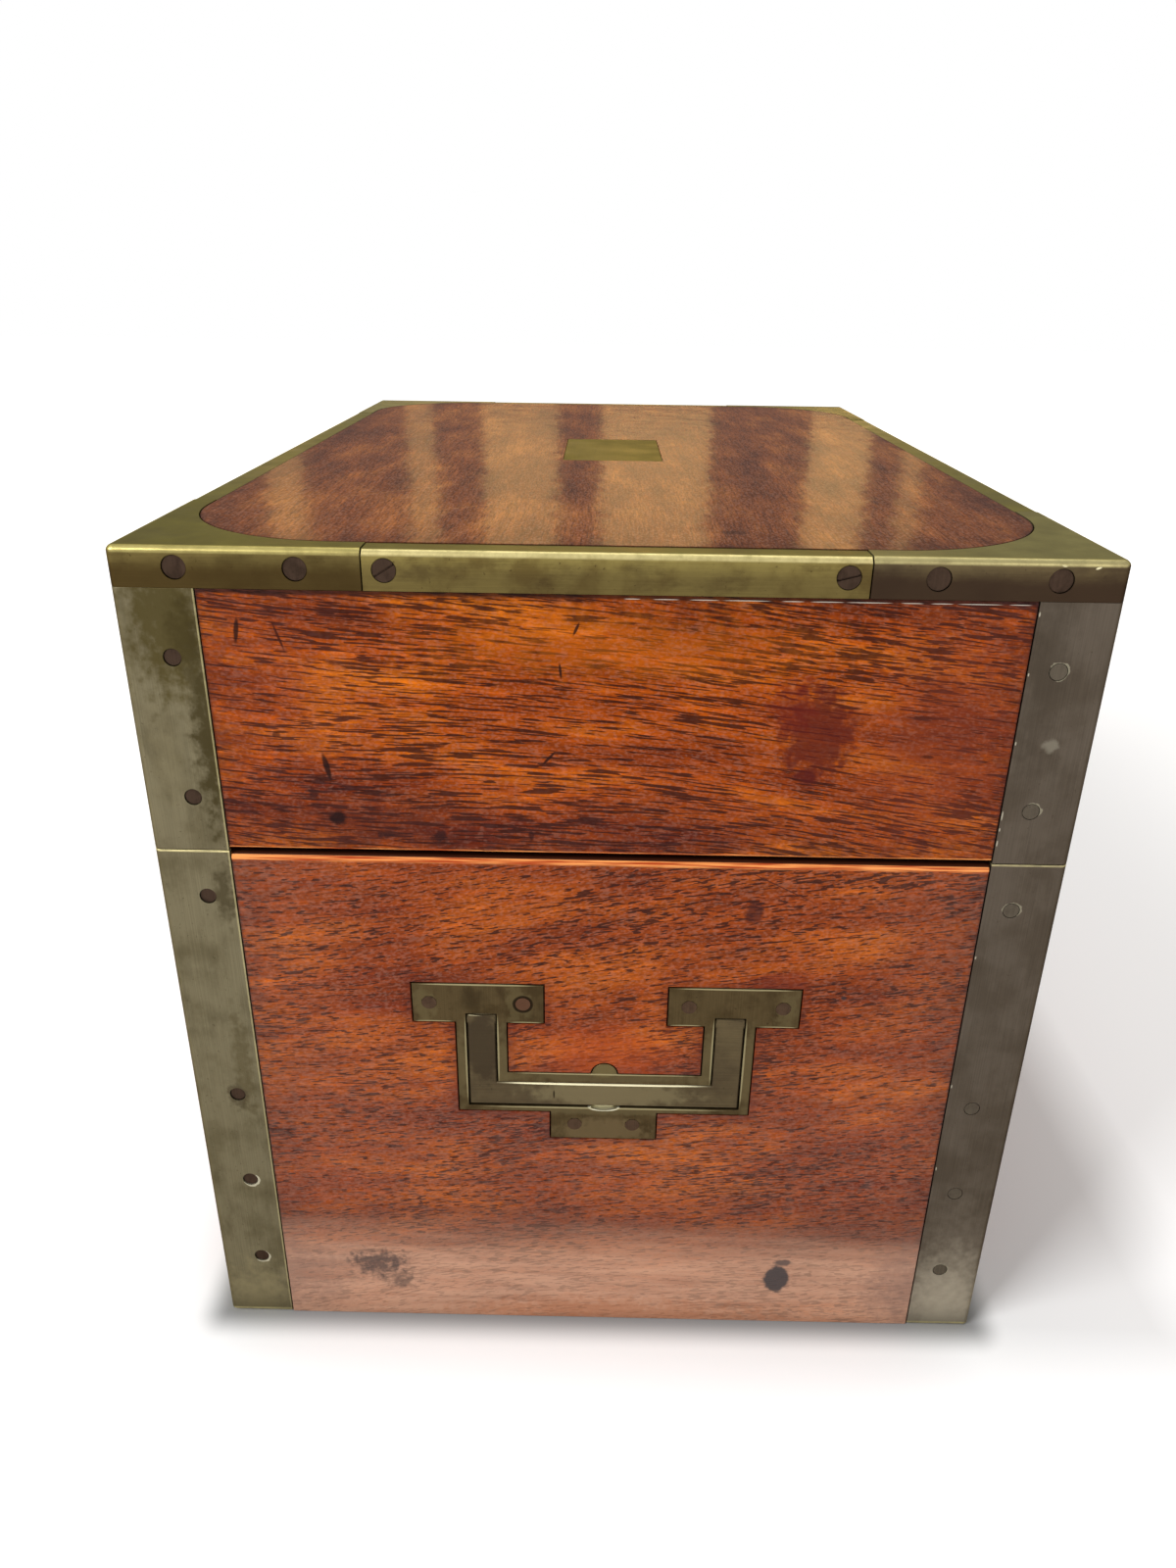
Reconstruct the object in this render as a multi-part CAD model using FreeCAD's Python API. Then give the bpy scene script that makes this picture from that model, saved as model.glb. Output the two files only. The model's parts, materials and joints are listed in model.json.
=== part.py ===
"""Brass-bound mahogany document box with a lift-up lid, flush end handles, stop hinges and a box lock.

The frame: origin at the centre of the underside, +X along the length towards the right end,
+Y towards the back with the hinges, +Z up. The lock is in the front, at -Y. Sizes are millimetres.
"""
import FreeCAD, Part

import math
import os

# Outside sizes
box_length = 350.0
box_width = 240.0
base_height = 170.0
lid_height = 80.0

# Boards
wall = 12.0
bottom_thickness = 9.0
bottom_seat = 6.0
bottom_gap = 0.2
top_thickness = 10.0
lining_thickness = 1.0
lining_gap = 0.5
base_rim_setback = 0.8
lid_rim_setback = 0.9
base_rim_radius = 1.7
lid_rim_radius = 0.5
base_tail_count = 5
lid_tail_count = 2
tail_share = 0.62
tail_slope = 1.0 / 7.0

# Flush brass
brass = 1.6
edge_radius = 2.0
top_easing = 1.0
foot_easing = 0.8
inlay_gap = 0.3
seat_gap = 0.15
strap_width = 20.0
strap_joint_gap = 0.2
binding_width = 7.5
binding_seam_gap = 0.3
strip_drop = 0.2
corner_mount_reach = 60.0
panel_corner_radius = 45.0
plaque_length = 57.0
plaque_width = 35.0

# Wood screws
screw_sides = 8
neck_share = 0.46

# Flush handles
pivot_height = 116.8
bail_width = 78.4
bail_leg = 8.1
bail_bar = 8.0
bail_drop = 29.6
bail_thickness = 4.6
bail_easing = 0.4
bail_setback = 0.1
slot_gap = 0.3
slot_gap_below = 0.45
pan_floor_gap = 0.3
pan_floor = 1.2
stop_gap = 0.2
pivot_radius = 0.9
pivot_running_gap = 0.05
pivot_reach = 6.0
pan_border_side = 2.8
pan_border_above_bar = 3.4
pan_border_below_bar = 1.8
pan_head = 2.0
handle_plate_thickness = 2.2
ear_height = 12.8
ear_foot_below_pivot = 0.4
ear_reach_in = 10.5
ear_reach_out = 12.0
tab_width = 31.0
tab_height = 9.8
thumb_boss_radius = 3.65
nail_scoop_radius = 5.2
nail_scoop_drop = 2.0
nail_scoop_depth = 1.7
mortise_gap = 0.35
handle_screw_radius = 2.3
handle_screw_length = 9.0
ear_screw_in = 5.8
ear_screw_out = 4.7
tab_screw_half_spacing = 8.5
tab_screw_height = 5.2

# Stop hinges
hinge_inset = 70.0
hinge_length = 38.0
hinge_depth = 10.0
hinge_leaf_thickness = 2.7
hinge_leaf_gap = 0.6
barrel_radius = 2.0
barrel_clearance = 0.25
knuckle_count = 3
knuckle_gap = 0.2
hinge_pin_radius = 1.0
hinge_running_gap = 0.05
lid_open_angle = 95.0
stop_angle_gap = 0.5
hinge_screw_radius = 2.1
hinge_screw_length = 9.0
hinge_screw_spacing = 13.0
hinge_screw_depth = 6.0

# Box lock
lock_length = 64.0
lock_plate_drop = 34.0
lock_plate_thickness = 1.5
selvedge_width = 9.5
selvedge_thickness = 1.6
case_length = 50.0
case_drop = 28.0
case_depth = 7.0
case_wall = 1.0
bolt_throw = 6.0
bolt_slide_gap = 0.3
bolt_bar_height = 8.0
bolt_bar_below_selvedge = 7.8
bolt_finger_thickness = 2.2
bolt_finger_height = 2.2
bolt_post_width = 3.0
bolt_end = 3.0
stump_spacing = 17.0
stump_length = 3.0
stump_height = 2.6
stump_gap = 0.2
talon_width = 6.0
talon_depth = 2.5
staple_spacing = 20.0
staple_length = 3.0
staple_width = 4.8
staple_leg = 0.9
staple_eye_height = 3.2
staple_gap = 0.4
staple_side_gap = 0.5
finger_rest_gap = 0.6
key_drop = 21.9
keyhole_radius = 2.4
keyhole_slot_width = 2.0
keyhole_slot_drop = 6.3
drill_pin_radius = 1.0
escutcheon_rim = 1.1
escutcheon_depth = 3.0
spring_thickness = 0.6
spring_width = 4.0
spring_foot_height = 3.5
spring_crown_height = 1.6
spring_gap = 0.1
lock_screw_radius = 1.9
lock_screw_length = 6.0
lock_screw_inset = 3.5
link_plate_length = 52.0
link_screw_inset = 5.5

# Places that follow from the sizes above
half_length = box_length / 2
half_width = box_width / 2
box_height = base_height + lid_height
binding_foot = box_height - top_thickness
base_rim = base_height - base_rim_setback
lid_rim = base_height + lid_rim_setback
X = FreeCAD.Vector(1, 0, 0)
Y = FreeCAD.Vector(0, 1, 0)
Z = FreeCAD.Vector(0, 0, 1)
ORIGIN = FreeCAD.Vector(0, 0, 0)
past = 1.0  # how far a cutting tool reaches past the face that it opens


def block(x_low, x_high, y_low, y_high, z_low, z_high):
    """Rectangular solid between two corners."""
    corner = FreeCAD.Vector(x_low, y_low, z_low)
    return Part.makeBox(x_high - x_low, y_high - y_low, z_high - z_low, corner)


def prism(points, direction):
    """Solid of a closed outline of (x, y, z) points, extruded by a vector."""
    corners = [FreeCAD.Vector(*point) for point in points]
    return Part.Face(Part.makePolygon(corners + corners[:1])).extrude(direction)


def rod(radius, start, direction, length):
    """Round bar from a start point along a direction."""
    return Part.makeCylinder(radius, length, FreeCAD.Vector(*start), direction)


def turned(shape):
    """The same shape at the other end of the box, half a turn round the vertical axis."""
    copy = shape.copy()
    copy.rotate(ORIGIN, Z, 180)
    return copy


def mirrored(shape, normal):
    """The same shape on the other side of a middle plane of the box."""
    return shape.mirror(ORIGIN, normal)


def joined(first, others):
    """One solid made of a shape and the shapes that stand on it."""
    return first.fuse(others).removeSplitter()


def edges_where(shape, test):
    """The straight edges of a shape whose two ends both pass a test."""
    return [edge for edge in shape.Edges if all(test(vertex.Point) for vertex in edge.Vertexes)]


def near(value, target):
    """Whether two lengths are the same place."""
    return abs(value - target) < 0.001


def screw(head_radius, length, place, inward):
    """Countersunk wood screw: flat head flush at its place, neck, and a shank that tapers to a point."""
    neck_radius = neck_share * head_radius
    head_depth = head_radius - neck_radius
    turn = FreeCAD.Rotation(Z, inward)

    def ring(radius, depth):
        angles = [2 * math.pi * (side + 0.5) / screw_sides for side in range(screw_sides)]
        flat = [FreeCAD.Vector(radius * math.cos(a), radius * math.sin(a), depth) for a in angles]
        return [FreeCAD.Vector(*place) + turn.multVec(point) for point in flat]

    head = ring(head_radius, 0)
    neck = ring(neck_radius, head_depth)
    point = FreeCAD.Vector(*place) + turn.multVec(FreeCAD.Vector(0, 0, length))
    faces = [Part.Face(Part.makePolygon(head + head[:1]))]
    for side in range(screw_sides):
        following = (side + 1) % screw_sides
        flank = [head[side], head[following], neck[following], neck[side], head[side]]
        taper = [neck[side], neck[following], point, neck[side]]
        faces.append(Part.Face(Part.makePolygon(flank)))
        faces.append(Part.Face(Part.makePolygon(taper)))
    return Part.Solid(Part.Shell(faces))


# Boards


def dovetails(face_low, face_high, z_low, z_high, count):
    """The tails on the right-hand end of a long board, wide at the outer end, from z_low to z_high."""
    pitch = (z_high - z_low) / count
    shoulder = half_length - wall
    tails = []
    for number in range(count):
        middle = z_low + (number + 0.5) * pitch
        wide = tail_share * pitch / 2
        narrow = wide - wall * tail_slope
        outline = [
            (shoulder, face_low, middle - narrow),
            (half_length, face_low, middle - wide),
            (half_length, face_low, middle + wide),
            (shoulder, face_low, middle + narrow),
        ]
        tails.append(prism(outline, Y * (face_high - face_low)))
    return tails


def all_dovetails(z_low, z_high, count):
    """The tails of the front and back boards at all four corners."""
    back_right = dovetails(half_width - wall, half_width, z_low, z_high, count)
    right = back_right + [mirrored(tail, Y) for tail in back_right]
    return right + [mirrored(tail, X) for tail in right]


def strap_rebates(z_low, z_high):
    """The shallow rebates on both faces of each corner, in which the straps lie flush."""
    reach = strap_width + inlay_gap
    end = block(
        half_length - brass, half_length + past, half_width - reach, half_width + past, z_low, z_high
    )
    side = block(
        half_length - reach, half_length + past, half_width - brass, half_width + past, z_low, z_high
    )
    right = [end, side, mirrored(end, Y), mirrored(side, Y)]
    return right + [mirrored(cut, X) for cut in right]


def walls(z_low, z_high, tail_count):
    """Front, back, left and right boards of one carcase, dovetailed and rebated for the straps."""
    tails = all_dovetails(z_low, z_high, tail_count)
    inner = half_length - wall
    back_tails = [tail for tail in tails if tail.CenterOfMass.y > 0]
    back = joined(block(-inner, inner, half_width - wall, half_width, z_low, z_high), back_tails)
    right = block(inner, half_length, -half_width, half_width, z_low, z_high).cut(tails)
    rebates = strap_rebates(z_low - past, z_high + past)
    back = back.cut(rebates)
    right = right.cut(rebates)
    return {"front": turned(back), "back": back, "left": turned(right), "right": right}


def eased_rim(board, side, z_rim, radius):
    """A board with the outer arris of its rim rounded between the straps."""
    outer = half_width if side in ("front", "back") else half_length
    axis = "y" if side in ("front", "back") else "x"

    def on_rim(point):
        return near(point.z, z_rim) and near(abs(getattr(point, axis)), outer)

    return board.makeFillet(radius, edges_where(board, on_rim))


def bottom_block(gap):
    """The bottom board, held in a rebate all round, with a gap at its edges."""
    x_edge = half_length - wall + bottom_seat - gap
    y_edge = half_width - wall + bottom_seat - gap
    return block(-x_edge, x_edge, -y_edge, y_edge, 0, bottom_thickness)


def floor_lining():
    """Thin cloth lining that lies on the bottom board."""
    x_edge = half_length - wall - lining_gap
    y_edge = half_width - wall - lining_gap
    return block(-x_edge, x_edge, -y_edge, y_edge, bottom_thickness, bottom_thickness + lining_thickness)


def panel_prism(inset, radius, z_low, z_high):
    """Upright prism whose plan is the lid's round-cornered panel, inset from the outside edges."""
    x_edge = half_length - inset
    y_edge = half_width - inset
    panel = block(-x_edge, x_edge, -y_edge, y_edge, z_low, z_high)
    return panel.makeFillet(radius, [edge for edge in panel.Edges if near(edge.Length, z_high - z_low)])


def top_board():
    """The lid's top board: a core inside the binding and a raised panel flush with the brass."""
    core = block(
        brass - half_length, half_length - brass, brass - half_width, half_width - brass,
        binding_foot, box_height - brass,
    )
    inset = binding_width + inlay_gap
    panel = panel_prism(inset, panel_corner_radius - inlay_gap, box_height - brass, box_height)
    return joined(core, [panel]).cut(plaque(inlay_gap / 2))


def plaque(gap):
    """The plain plate let in flush in the middle of the lid, or its recess with a gap round it."""
    x_edge = plaque_length / 2 + gap
    y_edge = plaque_width / 2 + gap
    return block(-x_edge, x_edge, -y_edge, y_edge, box_height - brass, box_height)


# Flush brass


def rounded_column(z_low, z_high):
    """The outside form of the box over a stretch of its height, with its upright edges rounded."""
    column = block(-half_length, half_length, -half_width, half_width, z_low, z_high)
    upright = [edge for edge in column.Edges if near(edge.Length, z_high - z_low)]
    return column.makeFillet(edge_radius, upright)


def eased(shape, height, easing):
    """A shape with its outline at one height chamfered."""
    return shape.makeChamfer(easing, edges_where(shape, lambda point: near(point.z, height)))


def corner_straps(form):
    """Four angle straps cut from the outside form of a carcase, keyed by the corner that each covers."""
    z_low = form.BoundBox.ZMin
    z_high = form.BoundBox.ZMax
    core = block(
        brass - half_length, half_length - brass, brass - half_width, half_width - brass,
        z_low - past, z_high + past,
    )
    skin = form.cut(core)
    corner = block(
        half_length - strap_width, half_length + past, half_width - strap_width, half_width + past,
        z_low - past, z_high + past,
    )
    back_right = skin.common(corner)
    front_left = turned(back_right)
    front_right = mirrored(back_right, Y)
    return {
        "back_right": back_right,
        "front_left": front_left,
        "front_right": front_right,
        "back_left": turned(front_right),
    }


def binding_ring(top):
    """The whole angle binding round the lid's top edge, before it is cut into its eight lengths."""
    form = eased(rounded_column(binding_foot, top), top, top_easing)
    core = block(
        brass - half_length, half_length - brass, brass - half_width, half_width - brass,
        binding_foot - past, box_height - brass,
    )
    opening = panel_prism(binding_width, panel_corner_radius, binding_foot - past, box_height + past)
    return form.cut([core, opening])


def corner_mounts():
    """Four corner mounts of the binding, whose top flange fills the panel's round corner."""
    corner = block(
        half_length - corner_mount_reach, half_length + past,
        half_width - corner_mount_reach, half_width + past,
        binding_foot - past, box_height + past,
    )
    back_right = binding_ring(box_height).common(corner)
    front_right = mirrored(back_right, Y)
    return {
        "back_right": back_right,
        "front_left": turned(back_right),
        "front_right": front_right,
        "back_left": turned(front_right),
    }


def edge_strips():
    """Four straight lengths of the binding between the corner mounts, a hair lower than these."""
    ring = binding_ring(box_height - strip_drop)
    reach = corner_mount_reach + binding_seam_gap
    x_end = half_length - reach
    y_end = half_width - reach
    right = ring.common(
        block(half_length - reach, half_length + past, -y_end, y_end, binding_foot - past, box_height)
    )
    back = ring.common(
        block(-x_end, x_end, half_width - reach, half_width + past, binding_foot - past, box_height)
    )
    return {"right": right, "left": turned(right), "back": back, "front": turned(back)}


# Flush handles, modelled in the right end


bail_half = bail_width / 2
bail_inner = bail_half - bail_leg
bar_low = pivot_height - bail_drop
bar_high = bar_low + bail_bar
pivot_x = half_length - bail_setback - bail_thickness / 2
slot_depth = bail_setback + bail_thickness + pan_floor_gap
slot_low = bar_low - slot_gap_below
slot_high = bar_high + slot_gap
slot_top = pivot_height + bail_thickness / 2 + stop_gap
slot_outer = bail_half + slot_gap
slot_inner = bail_inner - slot_gap
pan_outer = slot_outer + pan_border_side
pan_inner = slot_inner - pan_border_side
pan_low = slot_low - pan_border_below_bar
pan_high = slot_high + pan_border_above_bar
pan_top = slot_top + pan_head
pan_depth = slot_depth + pan_floor
ear_low = pivot_height - ear_foot_below_pivot
ear_high = ear_low + ear_height
ear_inner = pan_inner - ear_reach_in
ear_outer = pan_outer + ear_reach_out
tab_low = pan_low - tab_height


def end_prism(points, depth):
    """Prism of an outline of (y, z) points on the right end face, sunk into the box by depth."""
    outline = [(half_length, y, z) for y, z in points]
    return prism(outline, X * -depth)


def u_prism(outer, inner, low, high, top, depth):
    """Prism of an upright U: legs from inner to outer on both sides, bar from low to high."""
    right_side = [(outer, low), (outer, top), (inner, top), (inner, high)]
    left_side = [(-y, z) for y, z in reversed(right_side)]
    return end_prism(right_side + left_side, depth)


def plate_outline(gap):
    """Corners of the handle plate's face: ears, legs, bar and tab, grown outwards by a gap."""
    right_side = [
        (tab_width / 2 + gap, tab_low - gap),
        (tab_width / 2 + gap, pan_low - gap),
        (pan_outer + gap, pan_low - gap),
        (pan_outer + gap, ear_low - gap),
        (ear_outer + gap, ear_low - gap),
        (ear_outer + gap, ear_high + gap),
        (ear_inner - gap, ear_high + gap),
        (ear_inner - gap, ear_low - gap),
        (pan_inner - gap, ear_low - gap),
        (pan_inner - gap, pan_high + gap),
    ]
    return right_side + [(-y, z) for y, z in reversed(right_side)]


def handle_body(gap):
    """Solid of the whole plate with its pan, or with a gap, of the mortise that takes it."""
    face = end_prism(plate_outline(gap), handle_plate_thickness + gap)
    boss_place = (half_length, 0, pan_high)
    boss = rod(thumb_boss_radius + gap, boss_place, -X, handle_plate_thickness + gap)
    pan = u_prism(
        pan_outer + gap, pan_inner - gap, pan_low - gap, pan_high + gap, pan_top + gap, pan_depth + gap
    )
    return joined(face, [boss, pan])


def handle_screws():
    """Six countersunk screws: two in each ear and two in the tab."""
    ear_z = (ear_low + ear_high) / 2
    tab_z = tab_low + tab_screw_height
    places = [(ear_inner + ear_screw_in, ear_z), (ear_outer - ear_screw_out, ear_z)]
    places.append((tab_screw_half_spacing, tab_z))
    return [
        screw(handle_screw_radius, handle_screw_length, (half_length, side * y, z), -X)
        for y, z in places
        for side in (-1, 1)
    ]


def handle_plate(screws):
    """Cast plate with the U-shaped pan for the bail, the nail scoop and the pivot bores."""
    plate = handle_body(0)
    slot = u_prism(slot_outer, slot_inner, slot_low, slot_high, slot_top, slot_depth)
    scoop_z = slot_low - nail_scoop_drop + nail_scoop_radius
    scoop = rod(nail_scoop_radius, (half_length, 0, scoop_z), -X, nail_scoop_depth)
    above_bar = block(
        half_length - slot_depth, half_length, -nail_scoop_radius, nail_scoop_radius,
        slot_high, scoop_z + nail_scoop_radius + past,
    )
    return plate.cut([slot, scoop.cut(above_bar)] + handle_pivots() + screws)


def handle_pivots():
    """The two pivots, driven in from the outer edges of the pan through the bail's legs."""
    start = bail_half - pivot_reach
    pin = rod(pivot_radius, (pivot_x, start, pivot_height), Y, pan_outer - start)
    return [pin, mirrored(pin, Y)]


def handle_bail():
    """Square-cornered U bail, flat in front with eased edges, its legs rounded round the pivots.

    Each leg has a blind bore from its outer side, in which the pivot runs.
    """
    front_x = half_length - bail_setback
    bail = u_prism(bail_half, bail_inner, bar_low, bar_high, pivot_height, bail_thickness)
    bail.translate(X * -bail_setback)

    def on_front(edge):
        middle = edge.BoundBox.Center
        return near(middle.x, front_x) and not near(middle.z, pivot_height)

    bail = bail.makeChamfer(bail_easing, [edge for edge in bail.Edges if on_front(edge)])
    ends = [
        rod(bail_thickness / 2, (pivot_x, low, pivot_height), Y, bail_leg)
        for low in (bail_inner, -bail_half)
    ]
    bore_start = (pivot_x, bail_half - pivot_reach - pivot_running_gap, pivot_height)
    bore = rod(pivot_radius + pivot_running_gap, bore_start, Y, pivot_reach + past)
    return joined(bail, ends).cut([bore, mirrored(bore, Y)])


# Stop hinges, modelled closed: the axis lies in the back face at the height of the joint


def hinge_section(side):
    """Outline of one leaf in a plane across the axis, with the bevelled tail that stops the lid.

    side is -1 for the base leaf and 1 for the lid leaf.
    """
    stop_angle = math.radians((lid_open_angle + stop_angle_gap) / 2)
    outer_z = side * (hinge_leaf_thickness + hinge_leaf_gap / 2)
    inner_z = side * hinge_leaf_gap / 2
    tail_tip = abs(outer_z) / math.tan(stop_angle)
    tail_root = abs(inner_z) / math.tan(stop_angle)
    places = [(-hinge_depth, outer_z), (tail_tip, outer_z), (tail_root, inner_z), (-hinge_depth, inner_z)]
    return [(half_width + out, base_height + up) for out, up in places]


def knuckle_spans(x_low, owner):
    """Stretches along the axis of the knuckles of one leaf: owner 0 is the base, 1 the lid."""
    pitch = hinge_length / knuckle_count
    return [
        (x_low + number * pitch, x_low + (number + 1) * pitch)
        for number in range(knuckle_count)
        if number % 2 == owner
    ]


def hinge_leaf(x_middle, side, screws):
    """One leaf with its own knuckles, cleared for the other leaf's, and bored for the pin."""
    x_low = x_middle - hinge_length / 2
    owner = 0 if side < 0 else 1
    axis_place = (x_low, half_width, base_height)
    plate = prism([(x_low, y, z) for y, z in hinge_section(side)], X * hinge_length)
    clearance = [
        rod(barrel_radius + barrel_clearance, (low, half_width, base_height), X, high - low)
        for low, high in knuckle_spans(x_low, 1 - owner)
    ]
    knuckles = []
    for low, high in knuckle_spans(x_low, owner):
        start = low if near(low, x_low) else low + knuckle_gap / 2
        end = high if near(high, x_low + hinge_length) else high - knuckle_gap / 2
        knuckles.append(rod(barrel_radius, (start, half_width, base_height), X, end - start))
    bore = rod(hinge_pin_radius + hinge_running_gap, axis_place, X, hinge_length)
    return joined(plate.cut(clearance), knuckles).cut([bore] + screws)


def hinge_pin(x_middle):
    """Pin through all the knuckles."""
    start = (x_middle - hinge_length / 2, half_width, base_height)
    return rod(hinge_pin_radius, start, X, hinge_length)


def hinge_mortise(x_middle, side):
    """Notch in a rim for one leaf and the barrel."""
    outer = base_height + side * (hinge_leaf_thickness + hinge_leaf_gap / 2)
    low, high = sorted((outer, base_height))
    x_edge = hinge_length / 2 + seat_gap
    return block(
        x_middle - x_edge, x_middle + x_edge, half_width - hinge_depth, half_width + past, low, high
    )


def hinge_screws(x_middle, side):
    """Three screws through one leaf into the rim behind it."""
    face = base_height + side * hinge_leaf_gap / 2
    return [
        screw(
            hinge_screw_radius, hinge_screw_length,
            (x_middle + step * hinge_screw_spacing, half_width - hinge_screw_depth, face), Z * side,
        )
        for step in (-1, 0, 1)
    ]


# Box lock in the middle of the front wall


wall_inside = wall - half_width
plate_outside = wall_inside - lock_plate_thickness
case_outside = plate_outside - case_depth
case_inside = case_outside + case_wall
case_top = base_rim - selvedge_thickness
case_low = case_top - case_drop
bolt_y = (case_inside + plate_outside) / 2
bolt_bar_high = case_top - bolt_bar_below_selvedge
bolt_bar_low = bolt_bar_high - bolt_bar_height
key_z = base_rim - key_drop
staple_width_half = staple_width / 2
eye_low = case_top - staple_leg - staple_eye_height
finger_middle = eye_low + staple_eye_height / 2
selvedge_front = wall_inside - selvedge_width


def staple_slots():
    """Openings of the selvedge through which the staples drop into the case."""
    x_half = staple_length / 2 + staple_gap
    y_half = staple_width_half + staple_side_gap
    return [
        block(
            middle - x_half, middle + x_half, bolt_y - y_half, bolt_y + y_half,
            case_top - past, base_rim + past,
        )
        for middle in (-staple_spacing / 2, staple_spacing / 2)
    ]


def lock_plate(screws):
    """Back plate on the inner face of the wall with the selvedge along its top, flush in the rim."""
    x_half = lock_length / 2
    back = block(-x_half, x_half, plate_outside, wall_inside, base_rim - lock_plate_drop, base_rim)
    selvedge = block(-x_half, x_half, selvedge_front, plate_outside, case_top, base_rim)
    slots = staple_slots()
    return joined(back, [selvedge]).cut(slots + screws)


def keyhole(grow, y_low, y_high):
    """Keyhole prism along Y: a round eye with a straight slot below it, grown all round."""
    eye = rod(keyhole_radius + grow, (0, y_low, key_z), Y, y_high - y_low)
    slot_half = keyhole_slot_width / 2 + grow
    slot = block(-slot_half, slot_half, y_low, y_high, key_z - keyhole_slot_drop - grow, key_z)
    return joined(eye, [slot])


def lock_case():
    """Open-backed case with the keyhole and the two stumps that guide the bolt."""
    x_half = case_length / 2
    outside = block(-x_half, x_half, case_outside, plate_outside, case_low, case_top)
    inside = block(
        case_wall - x_half, x_half - case_wall, case_inside, plate_outside, case_low + case_wall, case_top
    )
    stumps = [stump(x, 0, 0) for x in stump_places()]
    hollow = outside.cut([inside, keyhole(0, case_outside, case_inside)])
    return joined(hollow, stumps)


def stump_places():
    """Places of the two guide stumps along the lock."""
    return (-stump_spacing / 2, stump_spacing / 2)


def stump(x_middle, travel, gap):
    """Square guide stump across the case, or the bolt's slot round it with its travel and a gap."""
    z_middle = (bolt_bar_low + talon_depth + bolt_bar_high) / 2
    x_half = stump_length / 2 + gap
    z_half = stump_height / 2 + gap
    return block(
        x_middle - x_half - travel, x_middle + x_half, case_inside, plate_outside,
        z_middle - z_half, z_middle + z_half,
    )


def lock_bolt():
    """Bolt with a notched bar on two stumps and two hooked fingers, drawn back at rest."""
    posts_and_fingers = []
    for middle in (-staple_spacing / 2, staple_spacing / 2):
        tip = middle - staple_length / 2 - finger_rest_gap
        post_end = middle - staple_length / 2 - staple_gap - bolt_throw
        post = block(
            post_end - bolt_post_width, post_end,
            bolt_y - bolt_finger_thickness / 2, bolt_y + bolt_finger_thickness / 2,
            bolt_bar_high, finger_middle + bolt_finger_height / 2,
        )
        finger = block(
            post_end, tip,
            bolt_y - bolt_finger_thickness / 2, bolt_y + bolt_finger_thickness / 2,
            finger_middle - bolt_finger_height / 2, finger_middle + bolt_finger_height / 2,
        )
        posts_and_fingers += [post, finger]
    left = stump_places()[0] - bolt_throw - stump_length / 2 - stump_gap - bolt_end
    right = stump_places()[1] + stump_length / 2 + stump_gap + bolt_end
    bar = block(
        left, right, case_inside + bolt_slide_gap, plate_outside - bolt_slide_gap,
        bolt_bar_low, bolt_bar_high,
    )
    bolt = joined(bar, posts_and_fingers)
    talon = block(
        -bolt_throw / 2 - talon_width / 2, talon_width / 2 - bolt_throw / 2,
        case_inside, plate_outside, bolt_bar_low - past, bolt_bar_low + talon_depth,
    )
    return bolt.cut([talon] + [stump(x, bolt_throw, stump_gap) for x in stump_places()])


def drill_pin():
    """Pin on the back plate on which the key turns, standing in the keyhole."""
    return rod(drill_pin_radius, (0, case_outside, key_z), Y, plate_outside - case_outside)


def lock_spring():
    """Bowed flat spring from the case's side wall, bearing under the bolt's bar."""
    foot_x = case_length / 2 - case_wall
    foot_z = case_low + case_wall + spring_foot_height
    touch_x = stump_places()[1]
    touch_z = bolt_bar_low - spring_gap
    middle_x = (foot_x + touch_x) / 2
    middle_z = (foot_z + touch_z) / 2 + spring_crown_height
    y_low = bolt_y - spring_width / 2

    def arc(drop):
        points = [(foot_x, foot_z - drop), (middle_x, middle_z - drop), (touch_x, touch_z - drop)]
        return [FreeCAD.Vector(x, y_low, z) for x, z in points]

    upper = arc(0)
    lower = arc(spring_thickness)
    edges = [
        Part.Arc(*upper).toShape(),
        Part.makeLine(upper[2], lower[2]),
        Part.Arc(*reversed(lower)).toShape(),
        Part.makeLine(lower[0], upper[0]),
    ]
    return Part.Face(Part.Wire(edges)).extrude(Y * spring_width)


def lock_screws():
    """Four screws in the corners of the back plate."""
    x_place = lock_length / 2 - lock_screw_inset
    heights = (case_top - lock_screw_inset, base_rim - lock_plate_drop + lock_screw_inset)
    return [
        screw(lock_screw_radius, lock_screw_length, (side * x_place, wall_inside, height), -Y)
        for side in (-1, 1)
        for height in heights
    ]


def lock_mortise():
    """Room in the front wall for the case, the back plate and the selvedge."""
    x_half = lock_length / 2 + seat_gap
    case_half = case_length / 2 + seat_gap
    case_room = block(
        -case_half, case_half, case_outside - seat_gap, wall_inside + past,
        case_low - seat_gap, base_rim + past,
    )
    plate_room = block(
        -x_half, x_half, plate_outside, wall_inside + past,
        base_rim - lock_plate_drop - seat_gap, base_rim + past,
    )
    selvedge_room = block(
        -x_half, x_half, selvedge_front - seat_gap, wall_inside + past, case_top, base_rim + past
    )
    return [case_room, plate_room, selvedge_room]


def keyhole_escutcheon():
    """Keyhole-shaped brass liner let into the front, flush with the wood."""
    y_high = escutcheon_depth - half_width
    return keyhole(escutcheon_rim, -half_width, y_high).cut(keyhole(0, -half_width - past, y_high + past))


def link_plate(screws):
    """Plate let into the rim of the lid's front rail, with the two staples that the bolt locks."""
    x_half = link_plate_length / 2
    plate = block(-x_half, x_half, selvedge_front, wall_inside, lid_rim, lid_rim + selvedge_thickness)
    staples = []
    for middle in (-staple_spacing / 2, staple_spacing / 2):
        low = middle - staple_length / 2
        high = middle + staple_length / 2
        loop = block(
            low, high, bolt_y - staple_width_half, bolt_y + staple_width_half, eye_low - staple_leg, lid_rim
        )
        eye_half = staple_width_half - staple_leg
        eye = block(low, high, bolt_y - eye_half, bolt_y + eye_half, eye_low, eye_low + staple_eye_height)
        staples.append(loop.cut(eye))
    return joined(plate, staples).cut(screws)


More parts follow.
